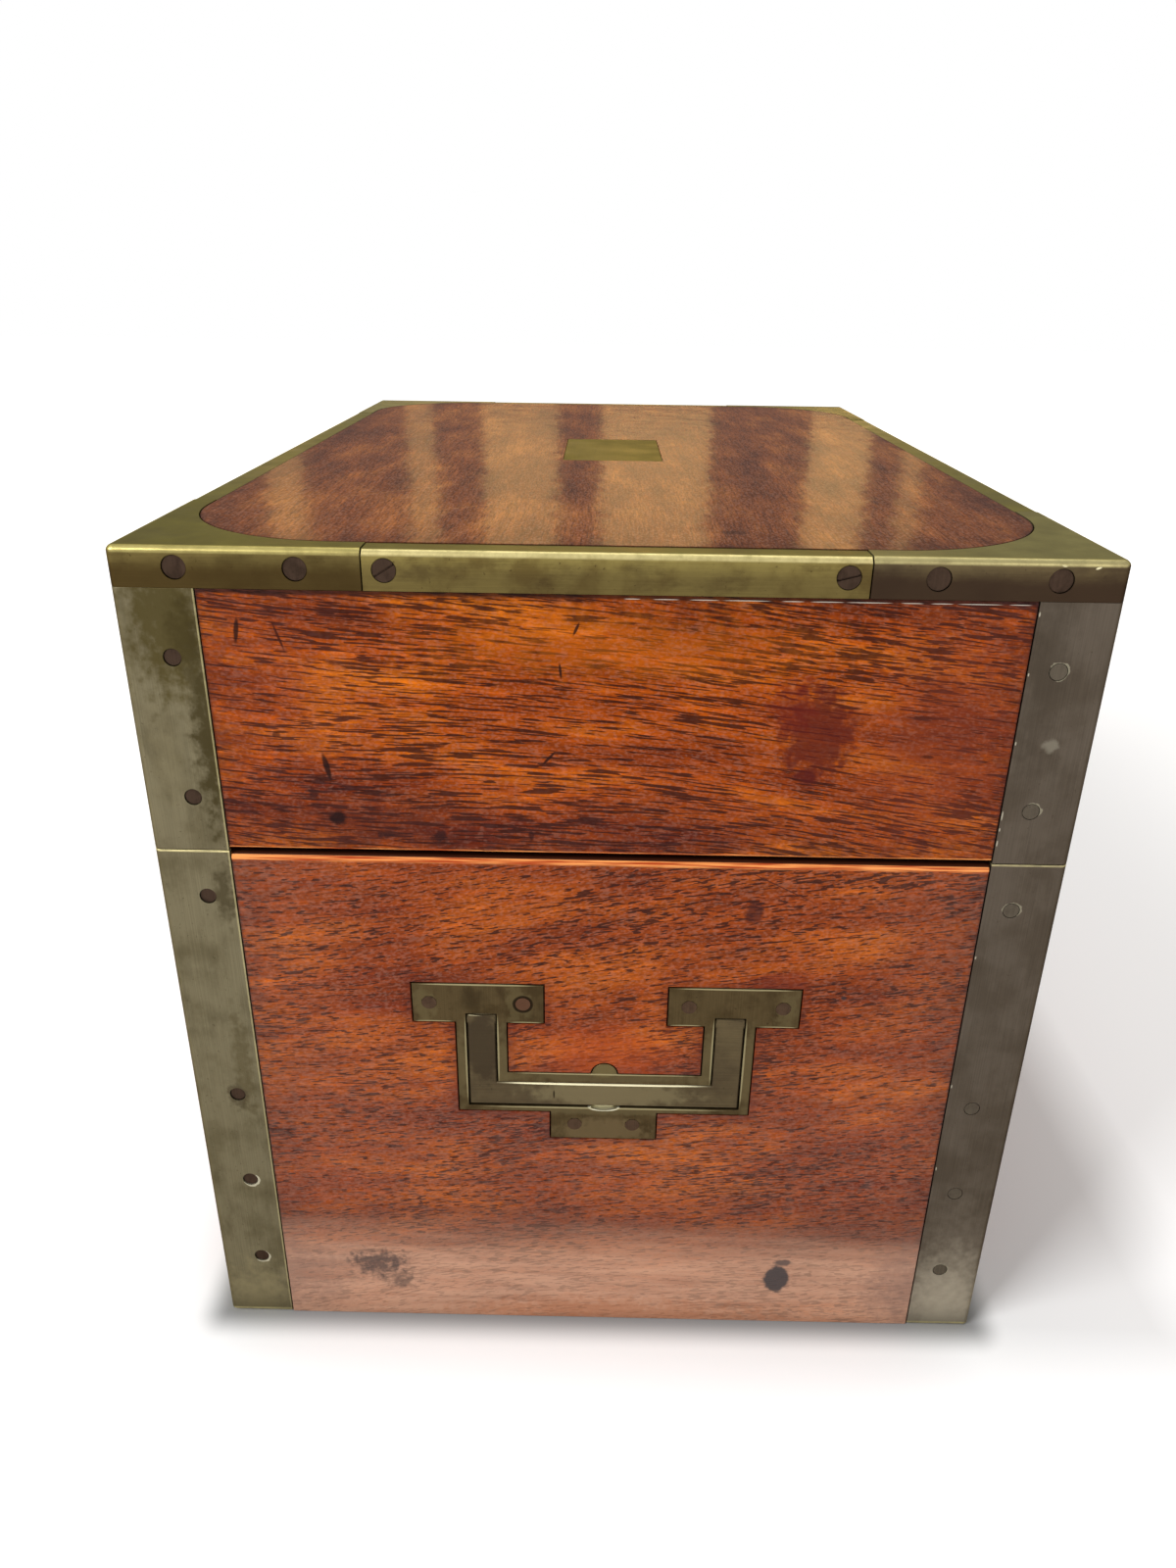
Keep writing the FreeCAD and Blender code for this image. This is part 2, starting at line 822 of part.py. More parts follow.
def link_screws():
    """Two screws that hold the link plate."""
    x_place = link_plate_length / 2 - link_screw_inset
    return [
        screw(lock_screw_radius, lock_screw_length, (side * x_place, bolt_y, lid_rim), Z)
        for side in (-1, 1)
    ]


def link_mortise():
    """Room for the link plate in the rim of the lid's front rail."""
    x_half = link_plate_length / 2 + seat_gap
    return block(
        -x_half, x_half, selvedge_front - seat_gap, wall_inside + past,
        lid_rim - past, lid_rim + selvedge_thickness,
    )


# Whole box


def handle_nodes():
    """Both flush handles, and the mortises and screws that the end boards are cut for."""
    screws = handle_screws()
    right = {
        "handle_plate": handle_plate(screws),
        "handle_bail": handle_bail(),
        "handle_pivots": Part.makeCompound(handle_pivots()),
        "handle_screws": Part.makeCompound(screws),
    }
    nodes = {name + "_right": shape for name, shape in right.items()}
    nodes.update({name + "_left": turned(shape) for name, shape in right.items()})
    return nodes, [handle_body(mortise_gap)] + screws


def hinge_nodes():
    """Both stop hinges, and for each rim the mortises and screws that it is cut for."""
    nodes = {}
    cuts = {-1: [], 1: []}
    screws = {-1: [], 1: []}
    for place, x_middle in (("left", hinge_inset - half_length), ("right", half_length - hinge_inset)):
        for side, leaf in ((-1, "base_leaf"), (1, "lid_leaf")):
            own_screws = hinge_screws(x_middle, side)
            nodes[f"hinge_{leaf}_{place}"] = hinge_leaf(x_middle, side, own_screws)
            cuts[side].append(hinge_mortise(x_middle, side))
            screws[side] += own_screws
        nodes[f"hinge_pin_{place}"] = hinge_pin(x_middle)
    nodes["hinge_base_screws"] = Part.makeCompound(screws[-1])
    nodes["hinge_lid_screws"] = Part.makeCompound(screws[1])
    return nodes, cuts[-1] + screws[-1], cuts[1] + screws[1]


def lock_nodes():
    """The lock and its link plate, and the cuts that they need in the front wall and rail."""
    plate_screws = lock_screws()
    rail_screws = link_screws()
    nodes = {
        "lock_plate": lock_plate(plate_screws),
        "lock_case": lock_case(),
        "lock_bolt": lock_bolt(),
        "lock_spring": lock_spring(),
        "lock_drill_pin": drill_pin(),
        "lock_screws": Part.makeCompound(plate_screws),
        "lock_link_plate": link_plate(rail_screws),
        "lock_link_screws": Part.makeCompound(rail_screws),
        "keyhole_escutcheon": keyhole_escutcheon(),
    }
    seat = keyhole(escutcheon_rim, -half_width, escutcheon_depth - half_width)
    keyway = block(
        -keyhole_radius, keyhole_radius, -half_width, case_outside,
        key_z - keyhole_slot_drop, key_z + keyhole_radius,
    )
    wall_cuts = lock_mortise() + [seat, keyway] + plate_screws
    return nodes, wall_cuts, [link_mortise()] + rail_screws


def binding_nodes():
    """Straps, corner mounts, edge strips and plaque."""
    joint_gap = strap_joint_gap / 2
    base_form = eased(rounded_column(0, base_height - joint_gap), 0, foot_easing)
    lid_form = rounded_column(base_height + joint_gap, binding_foot)
    groups = {
        "base_strap_": corner_straps(base_form),
        "lid_strap_": corner_straps(lid_form),
        "lid_corner_mount_": corner_mounts(),
        "lid_edge_strip_": edge_strips(),
    }
    nodes = {kind + place: piece for kind, group in groups.items() for place, piece in group.items()}
    nodes["lid_plaque"] = plaque(0)
    return nodes


def document_box():
    """Every piece of the box by its name."""
    handles, handle_cuts = handle_nodes()
    hinges, base_hinge_cuts, lid_hinge_cuts = hinge_nodes()
    lock, wall_cuts, rail_cuts = lock_nodes()

    nodes = binding_nodes()
    nodes.update(handles)
    nodes.update(hinges)
    nodes.update(lock)

    base_cuts = {
        "front": wall_cuts,
        "back": base_hinge_cuts,
        "right": handle_cuts,
        "left": [turned(cut) for cut in handle_cuts],
    }
    rebate = [bottom_block(0)]
    for side, board in walls(0, base_rim, base_tail_count).items():
        board = eased_rim(board.cut(rebate), side, base_rim, base_rim_radius)
        nodes[f"base_{side}_board"] = board.cut(base_cuts[side])
    lid_cuts = {"front": rail_cuts, "back": lid_hinge_cuts, "left": [], "right": []}
    for side, rail in walls(lid_rim, binding_foot, lid_tail_count).items():
        rail = eased_rim(rail, side, lid_rim, lid_rim_radius)
        nodes[f"lid_{side}_rail"] = rail.cut(lid_cuts[side])
    nodes["lid_top_board"] = top_board()
    nodes["base_bottom_board"] = bottom_block(bottom_gap)
    nodes["base_floor_lining"] = floor_lining()
    return nodes


def main():
    """Write each piece to a file of its own name."""
    os.makedirs("parts", exist_ok=True)
    for name, shape in document_box().items():
        shape.exportStep(f"parts/{name}.step")
        print(name, len(shape.Solids), "solids", round(shape.Volume), "mm3")


main()
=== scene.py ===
"""Looks of a brass-bound mahogany document box, dressed over its fixed construction.

Sizes are millimetres until a function hands them to Blender, which works in metres. The box stands on
the floor at z = 0, its ends face along X, its lock along -Y and its hinges along +Y.
"""
import json
import logging
import math
import random
from contextlib import contextmanager
from dataclasses import dataclass, field, replace
from enum import Enum
from typing import Callable, Iterator

import bmesh
import bpy
from mathutils import Matrix, Quaternion, Vector

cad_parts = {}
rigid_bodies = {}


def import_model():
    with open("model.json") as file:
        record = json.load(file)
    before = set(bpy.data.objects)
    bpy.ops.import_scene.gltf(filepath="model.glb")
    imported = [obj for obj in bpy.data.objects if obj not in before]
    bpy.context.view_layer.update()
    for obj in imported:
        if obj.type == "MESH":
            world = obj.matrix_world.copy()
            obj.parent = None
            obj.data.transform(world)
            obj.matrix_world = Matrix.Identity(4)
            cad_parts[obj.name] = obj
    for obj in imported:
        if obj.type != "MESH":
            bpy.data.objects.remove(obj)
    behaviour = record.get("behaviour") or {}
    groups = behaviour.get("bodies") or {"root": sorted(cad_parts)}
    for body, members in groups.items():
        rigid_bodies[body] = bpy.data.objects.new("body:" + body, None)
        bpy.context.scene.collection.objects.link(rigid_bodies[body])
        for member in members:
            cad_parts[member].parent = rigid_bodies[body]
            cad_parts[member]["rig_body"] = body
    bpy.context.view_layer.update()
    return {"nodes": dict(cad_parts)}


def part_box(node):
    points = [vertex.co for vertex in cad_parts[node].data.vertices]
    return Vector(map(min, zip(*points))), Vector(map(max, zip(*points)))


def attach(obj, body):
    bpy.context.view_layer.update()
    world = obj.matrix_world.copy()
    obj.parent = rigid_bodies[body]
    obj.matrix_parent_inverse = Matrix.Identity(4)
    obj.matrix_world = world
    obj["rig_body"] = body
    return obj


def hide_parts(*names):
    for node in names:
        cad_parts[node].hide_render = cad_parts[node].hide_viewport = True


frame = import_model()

MM = 0.001
HANDLE_BLOCKS = ((35.9, 122.8, 18.55, 6.4), (35.15, 102.0, 7.3, 17.2), (0.0, 91.9, 40.0, 7.1),
                 (0.0, 80.0, 15.5, 5.0))
log = logging.getLogger("document_box")

Triple = tuple[float, float, float]
Inputs = dict[str | int, object]


def colour(code: str) -> tuple[float, float, float, float]:
    """Turns an sRGB hex colour to linear light.

    Args:
        code: the colour, such as "#93401c".

    Returns:
        Red, green, blue and an alpha of 1.
    """
    parts = [int(code[start:start + 2], 16) / 255 for start in (1, 3, 5)]
    linear = [p / 12.92 if p <= 0.04045 else ((p + 0.055) / 1.055) ** 2.4 for p in parts]
    return (linear[0], linear[1], linear[2], 1.0)


def add(tree: bpy.types.NodeTree, kind: str, inputs: Inputs | None = None, **settings: object) -> bpy.types.Node:
    """Adds a shader node with its settings and links.

    Args:
        tree: the node tree that it goes into.
        kind: the node's type without its ShaderNode prefix.
        inputs: a constant, an output socket, or a node whose first output counts, for each input.
        settings: the node's own properties.

    Returns:
        The new node.
    """
    made = tree.nodes.new("ShaderNode" + kind)
    for name, value in settings.items():
        setattr(made, name, value)
    for name, value in (inputs or {}).items():
        if isinstance(value, bpy.types.Node):
            value = value.outputs[0]
        if isinstance(value, bpy.types.NodeSocket):
            tree.links.new(value, made.inputs[name])
        else:
            made.inputs[name].default_value = value
    return made


class Along(Enum):
    """The way that a grain or a set of scratches runs."""

    X = 0
    Y = 1
    Z = 2


@dataclass(frozen=True)
class MarkAndPaintedLight:
    """One mark on a surface, as a ragged ellipse in the face: a bruise, a spot, a nick or a scratch, or a painted
    highlight, reflection or shade.

    Sizes are millimetres. The half sizes are along X, Y and Z before the mark is turned.
    """

    centre: Triple
    half: Triple
    turned: float = 0.0
    shade: str = "#2a0f08"
    strength: float = 0.9
    ragged: float = 0.25
    core: float = 0.5


class Surface:
    """A material in the making: its tree, the place of each point in millimetres, and the shared patterns."""

    def __init__(self, name: str) -> None:
        """Starts an empty material of that name."""
        self.material = bpy.data.materials.new(name)
        self.material.use_nodes = True
        self.tree = self.material.node_tree
        self.tree.nodes.clear()
        place = add(self.tree, "TexCoord").outputs["Object"]
        self.place = add(self.tree, "VectorMath", {0: place, "Scale": 1 / MM}, operation="SCALE")

    def beyond(self, centre: Triple, half: Triple) -> bpy.types.Node:
        """How far each point lies outside a block, along each axis.

        Args:
            centre: the block's centre.
            half: its half sizes.

        Returns:
            A node whose output is the three distances, none below zero.
        """
        offset = add(self.tree, "VectorMath", {0: self.place, 1: centre}, operation="SUBTRACT")
        folded = add(self.tree, "VectorMath", {0: offset}, operation="ABSOLUTE")
        outside = add(self.tree, "VectorMath", {0: folded, 1: half}, operation="SUBTRACT")
        return add(self.tree, "VectorMath", {0: outside, 1: (0.0, 0.0, 0.0)}, operation="MAXIMUM")

    def near_block(self, centre: Triple, half: Triple, start: float, end: float) -> bpy.types.Node:
        """A mask that falls from 1 at `end` to 0 at `start`, by the distance from a block.

        Args:
            centre: the block's centre.
            half: its half sizes.
            start: the distance where the mask is 0.
            end: the distance where the mask is 1.

        Returns:
            The mask's node.
        """
        distance = add(self.tree, "VectorMath", {0: self.beyond(centre, half)}, operation="LENGTH")
        return add(self.tree, "MapRange", {"Value": distance.outputs["Value"], "From Min": start, "From Max": end},
                   interpolation_type="SMOOTHSTEP")

    def noise(self, place: object, size: float, stretch: Triple = (1, 1, 1), detail: float = 2.0,
              roughness: float = 0.5) -> bpy.types.Node:
        """Clouds of one real size, drawn out along the axes.

        Args:
            place: the coordinates in millimetres.
            size: the width of one cloud in millimetres.
            stretch: how many times longer than wide a cloud is along each axis.
            detail: how many finer layers lie over it.
            roughness: how strong the finer layers are.

        Returns:
            The noise's node, with its value as first output.
        """
        scale = tuple(1 / s for s in stretch)
        drawn = add(self.tree, "Mapping", {"Vector": place, "Scale": scale})
        return add(self.tree, "TexNoise", {"Vector": drawn, "Scale": 1 / size, "Detail": detail,
                                           "Roughness": roughness})

    def over(self, base: object, shade: object, mask: object, strength: float = 1.0,
             way: str = "MIX") -> bpy.types.Node:
        """Lays a colour over another where a mask is up.

        Args:
            base: the colour beneath.
            shade: the colour on top.
            mask: where it lies.
            strength: how much of it shows where the mask is 1.
            way: the blend type.

        Returns:
            The mixed colour's node.
        """
        share = add(self.tree, "Math", {0: mask, 1: strength}, operation="MULTIPLY")
        return add(self.tree, "MixRGB", {"Fac": share, "Color1": base, "Color2": shade}, blend_type=way)

    def marked(self, base: object, marks: tuple[MarkAndPaintedLight, ...]) -> object:
        """Lays each mark or painted light over a colour.

        Args:
            base: the colour beneath.
            marks: the marks and painted lights, first to last.

        Returns:
            The colour with its marks.
        """
        if not marks:
            return base
        shiver = self.noise(self.place, 2.5, detail=3.0)
        shiver = add(self.tree, "VectorMath", {0: shiver.outputs["Color"], 1: (0.5, 0.5, 0.5)}, operation="SUBTRACT")
        for mark in marks:
            angles = [0.0, 0.0, 0.0]
            angles[mark.half.index(max(mark.half))] = math.radians(mark.turned)
            local = add(self.tree, "Mapping", {"Vector": self.place, "Location": mark.centre, "Rotation": angles,
                                               "Scale": mark.half}, vector_type="TEXTURE")
            moved = add(self.tree, "VectorMath", {0: shiver, 1: (mark.ragged * 3,) * 3, 2: local},
                        operation="MULTIPLY_ADD")
            ball = add(self.tree, "TexGradient", {"Vector": moved}, gradient_type="SPHERICAL")
            mask = add(self.tree, "MapRange", {"Value": ball, "From Min": 0.02, "From Max": mark.core},
                       interpolation_type="SMOOTHSTEP")
            base = self.over(base, colour(mark.shade), mask, mark.strength)
        return base

    def ends_in(self, shader: bpy.types.Node) -> bpy.types.Material:
        """Links the shader to the output and hands the material over."""
        add(self.tree, "OutputMaterial", {"Surface": shader})
        return self.material


@dataclass(frozen=True)
class Mahogany:
    """French-polished mahogany: quarter-sawn boards, red-brown to orange, under a worn shellac film.

    To the eye it is long dark pore dashes on drifting bands of orange and red-brown, darker and dirtier
    towards the brass, with a soft gloss. The inside was only sealed, so it is plainer, paler and dull.
    """

    name: str
    grain: Along
    rise: float = 0.0
    shift: Triple = (0.0, 0.0, 0.0)
    dark: str = "#64240f"
    middle: str = "#93441f"
    bright: str = "#b8642c"
    pore: str = "#260c07"
    # The share of pale specks that are painted as glints of gloss.
    glint_share: float = 0.12
    pore_share: float = 0.5
    pore_depth: float = 0.85
    pore_length: float = 10.0
    wavy: float = 0.0
    gloss: float = 0.06
    polish: float = 0.0
    polish_roughness: float = 0.12
    panel_centre: Triple = (0.0, 0.0, 85.0)
    panel_half: Triple = (500.0, 100.0, 85.0)
    panel_corner: float = 0.0
    clear_centre: Triple = (0.0, 0.0, 150.0)
    clear_half: Triple = (500.0, 50.0, 20.0)
    clear_reach: float = 60.0
    scuff: str = "#7d5d52"
    marks: tuple[MarkAndPaintedLight, ...] = ()
    # The strength of the painted floor reflection, a milky glare low on the board.
    painted_floor_reflection: float = 0.0
    handle: bool = False

    def turn(self) -> Triple:
        """The rotation that lays the grain along X, with its rise across the board taken out."""
        rise = math.radians(self.rise)
        if self.grain is Along.Y:
            return (-rise, 0.0, -math.pi / 2)
        return (0.0, rise, 0.0)

    def figure(self, wood: Surface) -> tuple[object, object]:
        """The board's colour before wear, and the mask of its open pores.

        Args:
            wood: the material in the making.

        Returns:
            The colour and the pores.
        """
        tree = wood.tree
        straight = add(tree, "Mapping", {"Vector": wood.place, "Rotation": self.turn(), "Location": self.shift})
        drift = wood.noise(straight, 110.0, (2.0, 1, 1), detail=1.0)
        drift = add(tree, "VectorMath", {0: drift.outputs["Color"], 1: (0.5, 0.5, 0.5)}, operation="SUBTRACT")
        flow = add(tree, "VectorMath", {0: drift, 1: (0.0, 22.0, 22.0), 2: straight}, operation="MULTIPLY_ADD")
        clouds = wood.noise(flow, 15.0, (3.6, 1, 1), detail=5.0, roughness=0.6)
        ramp = add(tree, "ValToRGB", {"Fac": clouds})
        stops = ramp.color_ramp.elements
        stops[0].position = 0.3
        stops[0].color = colour(self.dark)
        stops[1].position = 0.72
        stops[1].color = colour(self.bright)
        stops.new(0.5).color = colour(self.middle)
        shade: object = ramp
        for size, length, least, most in ((4.0, 16.0, 0.88, 1.1), (1.2, 26.0, 0.8, 1.16), (0.5, 16.0, 0.66, 1.3),
                                          (0.6, 2.2, 0.82, 1.18)):
            streaks = wood.noise(flow, size, (length, 1, 1), detail=2.0, roughness=0.6)
            streaks = add(tree, "MapRange", {"Value": streaks, "From Min": 0.3, "From Max": 0.7, "To Min": least,
                                             "To Max": most})
            shade = wood.over(shade, streaks, 1.0, way="MULTIPLY")
        # Pale specks: painted glints, the tiny highlights of gloss on the grain.
        glints = wood.noise(flow, 0.65, (1.8, 1, 1), detail=1.0)
        glints = add(tree, "MapRange", {"Value": glints, "From Min": 0.46, "From Max": 0.66})
        shade = wood.over(shade, colour("#c89e8c"), glints, self.glint_share)
        crowd = wood.noise(straight, 24.0, (2.0, 1, 1), detail=2.0)
        crowd = add(tree, "MapRange", {"Value": crowd, "From Min": 0.3, "From Max": 0.7, "To Min": 0.31,
                                       "To Max": 0.34 + 0.07 * self.pore_share})
        pores: object = 0.0
        for size, share, depth in ((0.72, 1.0, 1.0), (0.5, 1.1, 1.0)):
            dashes = wood.noise(flow, size, (self.pore_length * share, 1, 1), detail=1.0, roughness=0.45)
            above = add(tree, "Math", {0: crowd, 1: 0.03}, operation="ADD")
            dashes = add(tree, "MapRange", {"Value": dashes, "From Min": above, "From Max": crowd, "To Max": depth},
                         interpolation_type="SMOOTHSTEP")
            pores = add(tree, "Math", {0: pores, 1: dashes}, operation="MAXIMUM")
        return wood.over(shade, colour(self.pore), pores, self.pore_depth), pores

    def grime(self, wood: Surface, shade: object) -> object:
        """Dirt that polishing has pushed towards the brass, and round the handle's plate.

        Args:
            wood: the material in the making.
            shade: the colour beneath.

        Returns:
            The dirtied colour.
        """
        tree = wood.tree
        patchy = wood.noise(wood.place, 6.0, detail=4.0, roughness=0.65)
        patchy = add(tree, "MapRange", {"Value": patchy, "From Min": 0.35, "From Max": 0.65})
        for inset, reach, tone, cover, strength in ((14.0, 14.0, "#2e100a", patchy, 0.5),
                                                    (1.6, 1.1, "#150906", 1.0, 0.85)):
            inset = max(inset, self.panel_corner)
            half = tuple(h - inset for h in self.panel_half)
            rim = wood.near_block(self.panel_centre, half, inset - reach, inset)
            dirty = add(tree, "Math", {0: rim, 1: cover}, operation="MULTIPLY")
            shade = wood.over(shade, colour(tone), dirty, strength)
        if self.handle:
            for middle, high, wide, tall in HANDLE_BLOCKS:
                for side in (-1, 1) if middle else (1,):
                    around = wood.near_block((0.0, side * middle, high), (500.0, wide, tall), 4.5, 0.2)
                    shade = wood.over(shade, colour("#4a1206"), around, 0.4)
        return shade

    def scuffed(self, wood: Surface, shade: object) -> object:
        """Shellac gone hazy with small scuffs, away from the clearer middle of the board.

        Args:
            wood: the material in the making.
            shade: the colour beneath.

        Returns:
            The hazed colour.
        """
        away = wood.near_block(self.clear_centre, self.clear_half, 0.0, self.clear_reach)
        wisps = wood.noise(wood.place, 1.1, (3, 3, 1), detail=5.0, roughness=0.7)
        wisps = add(wood.tree, "MapRange", {"Value": wisps, "From Min": 0.4, "From Max": 0.62})
        haze = add(wood.tree, "Math", {0: away, 1: wisps}, operation="MULTIPLY")
        return wood.over(shade, colour(self.scuff), haze, 0.36)

    def worn_rims_and_painted_light(self, wood: Surface, shade: object) -> object:
        """The joint of lid and base: bright wood on its outer arrises, worn and partly a painted highlight, and bare
        wood between them darkened as painted shade of the gap.

        Args:
            wood: the material in the making.
            shade: the colour beneath.

        Returns:
            The colour with its rims.
        """
        tree = wood.tree
        height = add(tree, "SeparateXYZ", {0: wood.place}).outputs["Z"]
        uneven = wood.noise(wood.place, 7.0, (2, 2, 1), detail=4.0, roughness=0.6)
        level = add(tree, "Math", {0: uneven, 1: 0.9, 2: height}, operation="MULTIPLY_ADD")
        base = add(tree, "MapRange", {"Value": level, "From Min": 167.5, "From Max": 168.1})
        lid = add(tree, "MapRange", {"Value": level, "From Min": 172.0, "From Max": 171.75})
        both = add(tree, "Math", {0: base, 1: lid}, operation="MULTIPLY")
        lines = wood.noise(wood.place, 0.45, (40, 40, 1), detail=2.0)
        lines = add(tree, "MapRange", {"Value": lines, "From Min": 0.38, "From Max": 0.6})
        # Bright bands on the joint's outer arrises: worn wood and a painted highlight of the rounded arrises.
        shade = wood.over(shade, wood.over(colour("#a8421a"), colour("#ef9a55"), lines), both, 0.92)
        # Dark wood inside the joint: bare wood, darkened as painted shade of the gap.
        flat = wood.near_block((0.0, 0.0, 170.0), (174.55, 119.55, 1.2), 0.15, 0.0)
        return wood.over(shade, colour("#34170c"), flat)

    def make(self) -> bpy.types.Material:
        """Builds the material."""
        wood = Surface(self.name)
        tree = wood.tree
        shade, pores = self.figure(wood)
        shade = self.grime(wood, shade)
        shade = self.scuffed(wood, shade)
        shade = self.worn_rims_and_painted_light(wood, shade)
        # Painted reflection of the pale floor: the lower board is darkened, then a milky glare fades up from the foot,
        # broken by streaks and the open grain.
        if self.painted_floor_reflection:
            height = add(tree, "SeparateXYZ", {0: wood.place}).outputs["Z"]
            wisps = wood.noise(wood.place, 9.0, (5, 8, 1), detail=4.0, roughness=0.6)
            level = add(tree, "Math", {0: wisps, 1: 14.0, 2: height}, operation="MULTIPLY_ADD")
            darker_band = add(tree, "MapRange", {"Value": level, "From Min": 63.0, "From Max": 45.0},
                        interpolation_type="SMOOTHSTEP")
            shade = wood.over(shade, colour("#3c1a12"), darker_band, 0.35)
            low = add(tree, "MapRange", {"Value": level, "From Min": 60.0, "From Max": 30.0},
                      interpolation_type="SMOOTHSTEP")
            low = add(tree, "Math", {0: low, 1: 2.2}, operation="POWER")
            streaks = wood.noise(wood.place, 3.0, (12, 12, 1), detail=5.0, roughness=0.65)
            streaks = add(tree, "MapRange", {"Value": streaks, "From Min": 0.3, "From Max": 0.62, "To Min": 0.6})
            low = add(tree, "Math", {0: low, 1: streaks}, operation="MULTIPLY")
            open_grain = add(tree, "MapRange", {"Value": pores, "To Min": 1.0, "To Max": 0.75})
            low = add(tree, "Math", {0: low, 1: open_grain}, operation="MULTIPLY")
            shade = wood.over(shade, colour("#d3a588"), low, self.painted_floor_reflection)
        shade = wood.marked(shade, self.marks)
        inner = wood.near_block((0.0, 0.0, 124.7), (163.3, 108.3, 115.6), 0.35, 0.05)
        sealed = wood.noise(wood.place, 22.0, (2, 2, 1), detail=3.0)
        sealed = wood.over(colour("#7a3f22"), colour("#945331"), sealed)
        sealed = wood.over(sealed, colour("#43200f"), pores, 0.6)
        shade = wood.over(shade, sealed, inner)
        rough = add(tree, "MapRange", {"Value": wood.noise(wood.place, 12.0, detail=4.0), "From Min": 0.3,
                                       "From Max": 0.7, "To Min": 0.3, "To Max": 0.42})
        rough = add(tree, "Math", {0: inner, 1: 0.3, 2: rough}, operation="MULTIPLY_ADD")
        dips = add(tree, "Math", {0: pores, 1: -1.0}, operation="MULTIPLY")
        bump = add(tree, "Bump", {"Height": dips, "Strength": 0.25, "Distance": 0.0001})
        inputs = {"Base Color": shade, "Roughness": rough, "Specular IOR Level": self.gloss, "Normal": bump}
        if self.polish:
            waves = add(tree, "Bump", {"Height": wood.noise(wood.place, 11.0, detail=2.0), "Distance": self.wavy * MM})
            inputs |= {"Coat Weight": self.polish, "Coat Roughness": self.polish_roughness, "Coat Normal": waves}
        return wood.ends_in(add(tree, "BsdfPrincipled", inputs))


